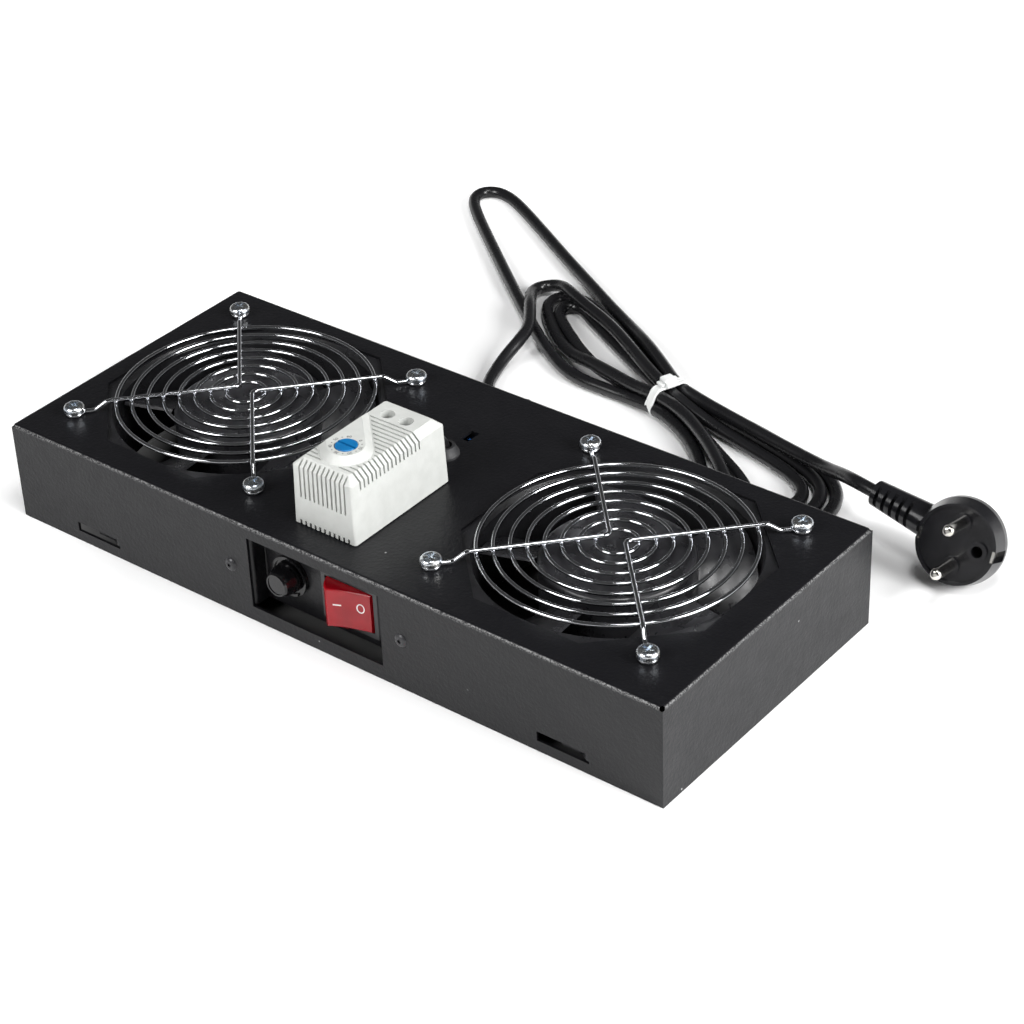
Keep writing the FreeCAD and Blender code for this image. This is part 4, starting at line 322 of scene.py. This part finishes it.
# Each plain finish: two tones, roughness and its spread, grain per metre, bump, then how metallic.
finishes = {
    # powder coats: colour, then the pale colour of the bends' rim, partly rubbed wear and partly painted
    # highlight
    "tray_paint": powder_coat("tray_paint", (0.0055, 0.0055, 0.0066), (0.26, 0.26, 0.26)),
    "bracket_paint": powder_coat("bracket_paint", (0.0065, 0.0065, 0.0075), (0.20, 0.20, 0.20)),
    "fan_frame": plain("fan_frame", (0.010, 0.010, 0.011), (0.016, 0.016, 0.018), 0.34, 0.08, 700, 0.25),
    "impeller": plain("impeller", (0.016, 0.016, 0.018), (0.028, 0.028, 0.031), 0.30, 0.06, 500, 0.12),
    "rotor_steel": plain("rotor_steel", (0.045, 0.046, 0.05), (0.075, 0.076, 0.08), 0.40, 0.08, 800,
                         0.18, 0.6),
    "shaft_steel": plain("shaft_steel", (0.55, 0.56, 0.58), (0.42, 0.43, 0.45), 0.22, 0.06, 900, 0.1, 1.0),
    "bronze": plain("bronze", (0.42, 0.25, 0.12), (0.30, 0.18, 0.09), 0.38, 0.08, 900, 0.2, 1.0),
    "core_steel": plain("core_steel", (0.20, 0.20, 0.21), (0.12, 0.12, 0.13), 0.42, 0.08, 900, 0.2, 1.0),
    "copper": plain("copper", (0.62, 0.24, 0.10), (0.42, 0.14, 0.05), 0.28, 0.08, 1800, 0.6, 1.0),
    "tinned_brass": plain("tinned_brass", (0.66, 0.64, 0.58), (0.54, 0.50, 0.42), 0.30, 0.08, 800, 0.15,
                          1.0),
    "rivet": plain("rivet", (0.020, 0.020, 0.022), (0.035, 0.035, 0.038), 0.34, 0.08, 900, 0.2, 0.3),
    "switch_black": plain("switch_black", (0.012, 0.012, 0.013), (0.020, 0.020, 0.022), 0.34, 0.06, 900,
                          0.2),
    "fuse_black": plain("fuse_black", (0.004, 0.004, 0.0045), (0.007, 0.007, 0.008), 0.16, 0.06, 700, 0.12),
    "fuse_metal": plain("fuse_metal", (0.70, 0.70, 0.70), (0.55, 0.55, 0.56), 0.22, 0.06, 900, 0.1, 1.0),
    "thermostat_white": plain("thermostat_white", (0.50, 0.51, 0.49), (0.54, 0.55, 0.53), 0.52, 0.06, 1300,
                              0.35, level=0.4),
    "latch_steel": plain("latch_steel", (0.60, 0.61, 0.63), (0.48, 0.49, 0.5), 0.30, 0.08, 800, 0.15, 1.0),
    "bimetal": plain("bimetal", (0.58, 0.50, 0.38), (0.46, 0.42, 0.36), 0.34, 0.08, 900, 0.15, 1.0),
    "dial_blue": plain("dial_blue", (0.003, 0.125, 0.33), (0.004, 0.150, 0.38), 0.36, 0.06, 1300, 0.25),
    "grommet_rubber": plain("grommet_rubber", (0.014, 0.014, 0.015), (0.024, 0.024, 0.026), 0.58, 0.08,
                            1400, 0.35),
    "gland_black": plain("gland_black", (0.012, 0.012, 0.013), (0.020, 0.020, 0.022), 0.40, 0.08, 900, 0.2),
    "receptacle_blue": plain("receptacle_blue", (0.02, 0.12, 0.42), (0.03, 0.15, 0.48), 0.34, 0.08, 900,
                             0.2),
    "lead_brown": jacket("lead_brown", (0.12, 0.045, 0.02), (0.15, 0.06, 0.03)),
    "lead_blue": jacket("lead_blue", (0.02, 0.12, 0.45), (0.03, 0.15, 0.52)),
    "lead_black": jacket("lead_black", (0.012, 0.012, 0.013), (0.02, 0.02, 0.022)),
    "lead_green_yellow": striped("lead_green_yellow", (0.55, 0.50, 0.03), (0.03, 0.22, 0.05)),
    "cord_sheath": jacket("cord_sheath", (0.0070, 0.0070, 0.0080), (0.0095, 0.0095, 0.0105)),
    "tie_white": plain("tie_white", (0.80, 0.81, 0.80), (0.74, 0.75, 0.745), 0.38, 0.06, 900, 0.2),
    "plug_black": plain("plug_black", (0.006, 0.006, 0.007), (0.009, 0.009, 0.0105), 0.20, 0.05, 420, 0.10),
    "plug_nickel": plain("plug_nickel", (0.72, 0.70, 0.66), (0.62, 0.60, 0.56), 0.16, 0.05, 700, 0.08, 1.0),
    "guard_chrome": chrome("guard_chrome"),
    "zinc": zinc("zinc"),
    "rocker_red": see_through("rocker_red", (0.52, 0.004, 0.014), 0.22, 0.45, 900),
    "lamp_glass": see_through("lamp_glass", (0.85, 0.80, 0.75), 0.10, 0.8, 600),
    "fuse_glass": see_through("fuse_glass", (0.92, 0.94, 0.93), 0.04, 1.0, 500),
    "print_white": plain("print_white", (0.78, 0.78, 0.78), (0.70, 0.70, 0.70), 0.50, 0.06, 1500, 0.2),
    "print_grey": plain("print_grey", (0.035, 0.035, 0.035), (0.05, 0.05, 0.05), 0.50, 0.06, 1500, 0.2),
}

for cad_object in nodes.values():
    for place in cad_object.material_slots:
        place.material = finishes[place.material.name.split(".")[0]].material


def finish_piece(piece, body, slot, finish=None):
    """Gives a new piece its body and a finish: the named one, else the one of its slot."""
    piece.data.materials.append(finishes[finish or slot].material)
    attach(piece, body)
    return piece


# ================================================================ marks printed on curved faces
print_proud = 0.03 * MM         # how far print stands off its face
print_into = 0.10 * MM          # and how far it reaches in


def node_tree_of(node):
    """Search tree of a node's faces, for rays."""
    data = nodes[node].data
    corners = [v.co.copy() for v in data.vertices]
    faces = [tuple(p.vertices) for p in data.polygons]
    return BVHTree.FromPolygons(corners, faces)


BACKWARD = Vector((0, 1, 0))    # from in front of the tray towards its back wall


def mesh_piece(name, corners, faces):
    data = bpy.data.meshes.new(name)
    data.from_pydata([tuple(c) for c in corners], [], faces)
    data.update()
    piece = bpy.data.objects.new(name, data)
    scene.collection.objects.link(piece)
    return piece


def laid_strip(name, first, second, tree, closed):
    """Thin print between two rows of x and z in millimetres, laid on a face from in front of the tray."""
    corners, faces = [], []
    count = len(first)
    in_front = -0.2
    for row in (first, second):
        for x, z in row:
            hit = tree.ray_cast(Vector((x * MM, in_front, z * MM)), BACKWARD)[0]
            corners.append(hit - BACKWARD * print_proud)
            corners.append(hit + BACKWARD * print_into)

    def at(row, i, level):
        return (row * count + i % count) * 2 + level

    for i in range(count if closed else count - 1):
        faces.append((at(0, i, 0), at(0, i + 1, 0), at(1, i + 1, 0), at(1, i, 0)))
        faces.append((at(0, i, 1), at(1, i, 1), at(1, i + 1, 1), at(0, i + 1, 1)))
        faces.append((at(0, i, 1), at(0, i + 1, 1), at(0, i + 1, 0), at(0, i, 0)))
        faces.append((at(1, i, 0), at(1, i + 1, 0), at(1, i + 1, 1), at(1, i, 1)))
    if not closed:
        for i in (0, count - 1):
            faces.append((at(0, i, 0), at(1, i, 0), at(1, i, 1), at(0, i, 1)))
    return mesh_piece(name, corners, faces)


def oval(x, z, across, upward, count):
    turns = [2 * math.pi * i / count for i in range(count)]
    return [(x + across * math.cos(t), z + upward * math.sin(t)) for t in turns]


mark_line = 0.45                # width of the ring's line
bar_half_height = 0.30
bar_start = -3.9                # from the rocker's middle
bar_steps, bar_step = 9, 0.4
ring_place = 7.2
ring_half_wide, ring_half_tall = 1.75, 2.25
marks_up = 1.9


def rocker_marks():
    """A bar and a ring, the usual marks for on and off."""
    tree = node_tree_of("rocker")
    low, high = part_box("rocker")
    middle_x = (low[0] + high[0]) / 2 / MM
    middle_z = (low[2] + high[2]) / 2 / MM + marks_up
    bar_x = [middle_x + bar_start + bar_step * i for i in range(bar_steps)]
    bar = laid_strip("mark_bar", [(x, middle_z + bar_half_height) for x in bar_x],
                     [(x, middle_z - bar_half_height) for x in bar_x], tree, False)
    ring_x = middle_x + ring_place
    outer = oval(ring_x, middle_z, ring_half_wide, ring_half_tall, 32)
    inner = oval(ring_x, middle_z, ring_half_wide - mark_line, ring_half_tall - mark_line, 32)
    ring = laid_strip("mark_ring", outer, inner, tree, True)
    finish_piece(bar, "rocker", "rocker_red", "print_white")
    finish_piece(ring, "rocker", "rocker_red", "print_white")


rocker_marks()


# The thermostat's scale, in millimetres and degrees round the dial.
scale_radius = 6.35
scale_start = 66.0              # where the first number stands
scale_step = 51.0               # from one number to the next
figure_size = 2.1
dot_radius = 0.28
scale_lines = 13                # seven numbers and six dots


def flat_text(words, size):
    """Outline of generic figures as a closed thin mesh, centred on its own origin."""
    data = bpy.data.curves.new("figure", "FONT")
    data.body = words
    data.size = size * MM
    data.extrude = print_proud
    data.align_x = "CENTER"
    data.align_y = "CENTER"
    data.resolution_u = 4
    figure = bpy.data.objects.new("figure", data)
    scene.collection.objects.link(figure)
    shown = figure.evaluated_get(bpy.context.evaluated_depsgraph_get())
    mesh = bpy.data.meshes.new_from_object(shown)
    corners = [v.co.copy() for v in mesh.vertices]
    faces = [tuple(p.vertices) for p in mesh.polygons]
    bpy.data.objects.remove(figure)
    return corners, faces


def dot(radius, count=12):
    """Thin round plate, centred on its own origin."""
    corners, faces = [], []
    for level in (-print_proud, print_proud):
        for i in range(count):
            t = 2 * math.pi * i / count
            corners.append(Vector((radius * MM * math.cos(t), radius * MM * math.sin(t), level)))
    faces.append(tuple(range(count, 2 * count)))
    faces.append(tuple(reversed(range(count))))
    for i in range(count):
        j = (i + 1) % count
        faces.append((i, j, count + j, count + i))
    return corners, faces


def dial_scale():
    """Seven plain numbers with dots between them, printed round the dial."""
    dial_low, dial_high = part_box("thermostat_dial")
    dial_x, dial_y = (dial_low[0] + dial_high[0]) / 2, (dial_low[1] + dial_high[1]) / 2
    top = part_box("thermostat_cover")[1][2]
    corners, faces = [], []
    for i in range(scale_lines):
        angle = math.radians(scale_start - i * scale_step / 2)
        shape = flat_text(str(10 * (i // 2)), figure_size) if i % 2 == 0 else dot(dot_radius)
        place = Vector((dial_x + scale_radius * MM * math.cos(angle),
                        dial_y + scale_radius * MM * math.sin(angle), top))
        turn = Matrix.Rotation(angle - math.pi / 2, 4, "Z")
        base = len(corners)
        corners += [place + turn @ c for c in shape[0]]
        faces += [tuple(base + k for k in f) for f in shape[1]]
    scale = mesh_piece("dial_scale", corners, faces)
    finish_piece(scale, "tray", "thermostat_white", "print_grey")


dial_scale()


# ================================================================ cable tie
# In millimetres across the bundle and up from the floor, about the place where the strands cross it.
UP = Vector((0, 0, 1))
tie_middle = Vector((9.0, 162.0, 0.0)) * MM
tie_across = Vector((0.36, 0.93, 0.0)).normalized()
tie_along = Vector((0.93, -0.36, 0.0)).normalized()
tie_strands = [(-8.4, 4.1), (8.4, 4.1), (-5.6, 9.3), (5.6, 9.3)]     # the outermost ones
tie_reach = cord_diameter / 2 / MM + 0.62                            # to the strap's middle
band_half = 2.35                # half the strap's width
band_thick = 0.55               # half its thickness
band_rail = 0.9                 # width of the raised rail along each edge
head_place = (-0.6, 14.6)
head_depth = 3.0
head_half, head_hole = 3.3, 2.6
tail_start, tail_end = (-5.6, 14.6), (4.6, 14.5)
tail_half, tail_thick = 2.2, 0.45


def tie_point(across, height, along):
    return tie_middle + tie_across * (across * MM) + UP * (height * MM) + tie_along * (along * MM)


def tie_band(corners, faces):
    """Strap drawn tight round the outermost strands, with a raised rail along each edge."""
    rail_out, rail_in = band_half - 0.25, band_half - band_rail
    floor_edge = rail_in - 0.2
    section = [(-band_half, -band_thick), (band_half, -band_thick), (band_half, band_thick * 0.7),
               (rail_out, band_thick), (rail_in, band_thick), (floor_edge, band_thick * 0.6),
               (-floor_edge, band_thick * 0.6), (-rail_in, band_thick),
               (-rail_out, band_thick), (-band_half, band_thick * 0.7)]
    count, rows = len(section), 96
    base = len(corners)
    for i in range(rows):
        angle = 2 * math.pi * i / rows
        out = (math.cos(angle), math.sin(angle))
        across, height = max(tie_strands, key=lambda c: c[0] * out[0] + c[1] * out[1])
        for along, lift in section:
            reach = tie_reach + lift
            corners.append(tie_point(across + out[0] * reach, height + out[1] * reach, along))
    for i in range(rows):
        for k in range(count):
            here, after = base + i * count, base + (i + 1) % rows * count
            m = (k + 1) % count
            faces.append((here + k, here + m, after + m, after + k))


def rounded_frame(corners, faces, centre, outer, inner, depth, soft):
    """Short square tube with rounded outer edges: the tie's head round its strap."""
    base = len(corners)
    stations = [(-depth, outer - soft), (soft - depth, outer), (depth - soft, outer), (depth, outer - soft),
                (depth, inner), (-depth, inner)]
    corner_turns = [math.pi / 4 + math.pi / 2 * k + t for k in range(4) for t in (-0.42, -0.14, 0.14, 0.42)]
    count = len(corner_turns)
    for station, (along_strap, half) in enumerate(stations):
        for turn in corner_turns:
            c, n = math.cos(turn), math.sin(turn)
            big = max(abs(c), abs(n))
            wide = half * c / big
            tall = (half * 0.72 if station < 4 else half * 0.30) * n / big
            if station < 4:
                shrink = 1 - 0.10 * (min(abs(c), abs(n)) / big) ** 4
                wide, tall = wide * shrink, tall * shrink
            corners.append(tie_point(centre[0] + along_strap, centre[1] + tall, wide))
    rows = len(stations)
    for i in range(rows):
        for k in range(count):
            here, after = base + i * count, base + (i + 1) % rows * count
            m = (k + 1) % count
            faces.append((here + k, after + k, after + m, here + m))


def strap_tail(corners, faces, start, end, half, thick):
    """Cut end of the strap beyond the head, with its ratchet steps."""
    base = len(corners)
    steps = 9
    for i in range(steps):
        part = i / (steps - 1)
        across = start[0] + (end[0] - start[0]) * part
        height = start[1] + (end[1] - start[1]) * part
        rise = thick + (0.14 if i % 2 else 0.0)
        for along, lift in ((-half, -thick), (half, -thick), (half, rise), (-half, rise)):
            corners.append(tie_point(across, height + lift, along))
    for i in range(steps - 1):
        for k in range(4):
            m = (k + 1) % 4
            faces.append((base + i * 4 + k, base + i * 4 + m, base + i * 4 + 4 + m, base + i * 4 + 4 + k))
    faces.append((base + 3, base + 2, base + 1, base))
    last = base + (steps - 1) * 4
    faces.append((last, last + 1, last + 2, last + 3))


def make_tie():
    """Strap, head and tail as one piece, in place of the solid tie."""
    corners, faces = [], []
    tie_band(corners, faces)
    rounded_frame(corners, faces, head_place, head_half, head_hole, head_depth, 0.7)
    strap_tail(corners, faces, tail_start, tail_end, tail_half, tail_thick)
    tie = mesh_piece("tie", corners, faces)
    bevel = tie.modifiers.new("soft_edges", "BEVEL")
    bevel.width = 0.12 * MM
    bevel.segments = 2
    finish_piece(tie, "tray", "tie_white")
    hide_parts("cable_tie")
    return tie


tie_piece = make_tie()

finish_piece(mains_cord, "tray", "cord_sheath")
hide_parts("cord_exit", "cord_hank", "cord_loop", "cord_plug_run")


# ================================================================ stage and light
scene.view_settings.view_transform = "Standard"
floor_white = (0.97, 0.97, 0.97)
# dark floor colour under the tray: painted shade
floor_painted_shade = (0.05, 0.05, 0.05)
horizon, ceiling = 0.85, 0.06   # strength of the world low down and overhead


def make_floor():
    """Plain pale floor that keeps the shadow near the object, with painted shade on the part under the
    tray.
    """
    data = bpy.data.meshes.new("floor")
    reach = 6
    data.from_pydata([(-reach, -reach, 0), (reach, -reach, 0), (reach, reach, 0), (-reach, reach, 0)],
                     [], [(0, 1, 2, 3)])
    floor = bpy.data.objects.new("floor", data)
    scene.collection.objects.link(floor)
    floor.location.z = -0.0002
    m = Maker("floor")
    # the floor under the tray gets painted shade
    m.set(Base_Color=m.blend(painted_shade_under_tray(m), floor_white, floor_painted_shade), Roughness=0.9)
    m.set(Specular_IOR_Level=0.1)
    m.set(Emission_Color=(1, 1, 1), Emission_Strength=far_white(m))
    data.materials.append(m.material)


def painted_shade_under_tray(m):
    """Painted shade: one inside the tray's walls, where the floor is darkened to stand for the tray's shade
    and only the openings show it.
    """
    inside_x = m.ramp(m.math("ABSOLUTE", m.axis("X")), tray_right - 0.001, tray_right - 0.004)
    inside_y = m.ramp(m.math("ABSOLUTE", m.axis("Y")), -tray_front - 0.001, -tray_front - 0.003)
    return m.math("MULTIPLY", inside_x, inside_y)


def far_white(m):
    """What the camera sees of the floor goes to plain white away from the object's middle."""
    across = m.math("SUBTRACT", m.axis("X"), 0.05)
    back = m.math("SUBTRACT", m.axis("Y"), 0.08)
    squares = m.math("ADD", m.math("MULTIPLY", across, across), m.math("MULTIPLY", back, back))
    away = m.ramp(m.math("SQRT", squares, 0), 0.22, 0.50)
    seen = m.add("ShaderNodeLightPath").outputs["Is Camera Ray"]
    return m.math("MULTIPLY", away, seen)


def make_world():
    """White round the horizon, falling off to a dark ceiling, as in a studio."""
    world = bpy.data.worlds.new("studio")
    scene.world = world
    world.use_nodes = True
    tree = world.node_tree
    background = tree.nodes["Background"]
    place = tree.nodes.new("ShaderNodeTexCoord")
    split = tree.nodes.new("ShaderNodeSeparateXYZ")
    fall = tree.nodes.new("ShaderNodeMapRange")
    fall.interpolation_type = "SMOOTHSTEP"
    tree.links.new(place.outputs["Generated"], split.inputs["Vector"])
    tree.links.new(split.outputs["Z"], fall.inputs["Value"])
    fall.inputs["From Min"].default_value = 0.02
    fall.inputs["From Max"].default_value = 0.28
    fall.inputs["To Min"].default_value = horizon
    fall.inputs["To Max"].default_value = ceiling
    tree.links.new(fall.outputs["Result"], background.inputs["Strength"])
    background.inputs["Color"].default_value = (1, 1, 1, 1)


def soft_box(name, place, size, power):
    """Flat lamp that faces the object, in metres and watts."""
    data = bpy.data.lights.new(name, "AREA")
    data.shape = "RECTANGLE"
    data.size, data.size_y = size
    data.energy = power
    lamp = bpy.data.objects.new(name, data)
    scene.collection.objects.link(lamp)
    lamp.location = place
    way = Vector((0, 0, 0.05)) - Vector(place)
    lamp.rotation_euler = way.to_track_quat("-Z", "Y").to_euler()


make_floor()
make_world()
soft_box("key_right", (1.52, 0.25, 0.77), (0.9, 0.9), 43)
soft_box("fill_front", (-0.5, -1.35, 1.08), (0.9, 0.7), 23)
soft_box("top_right", (0.55, -0.25, 1.7), (0.5, 0.5), 12)
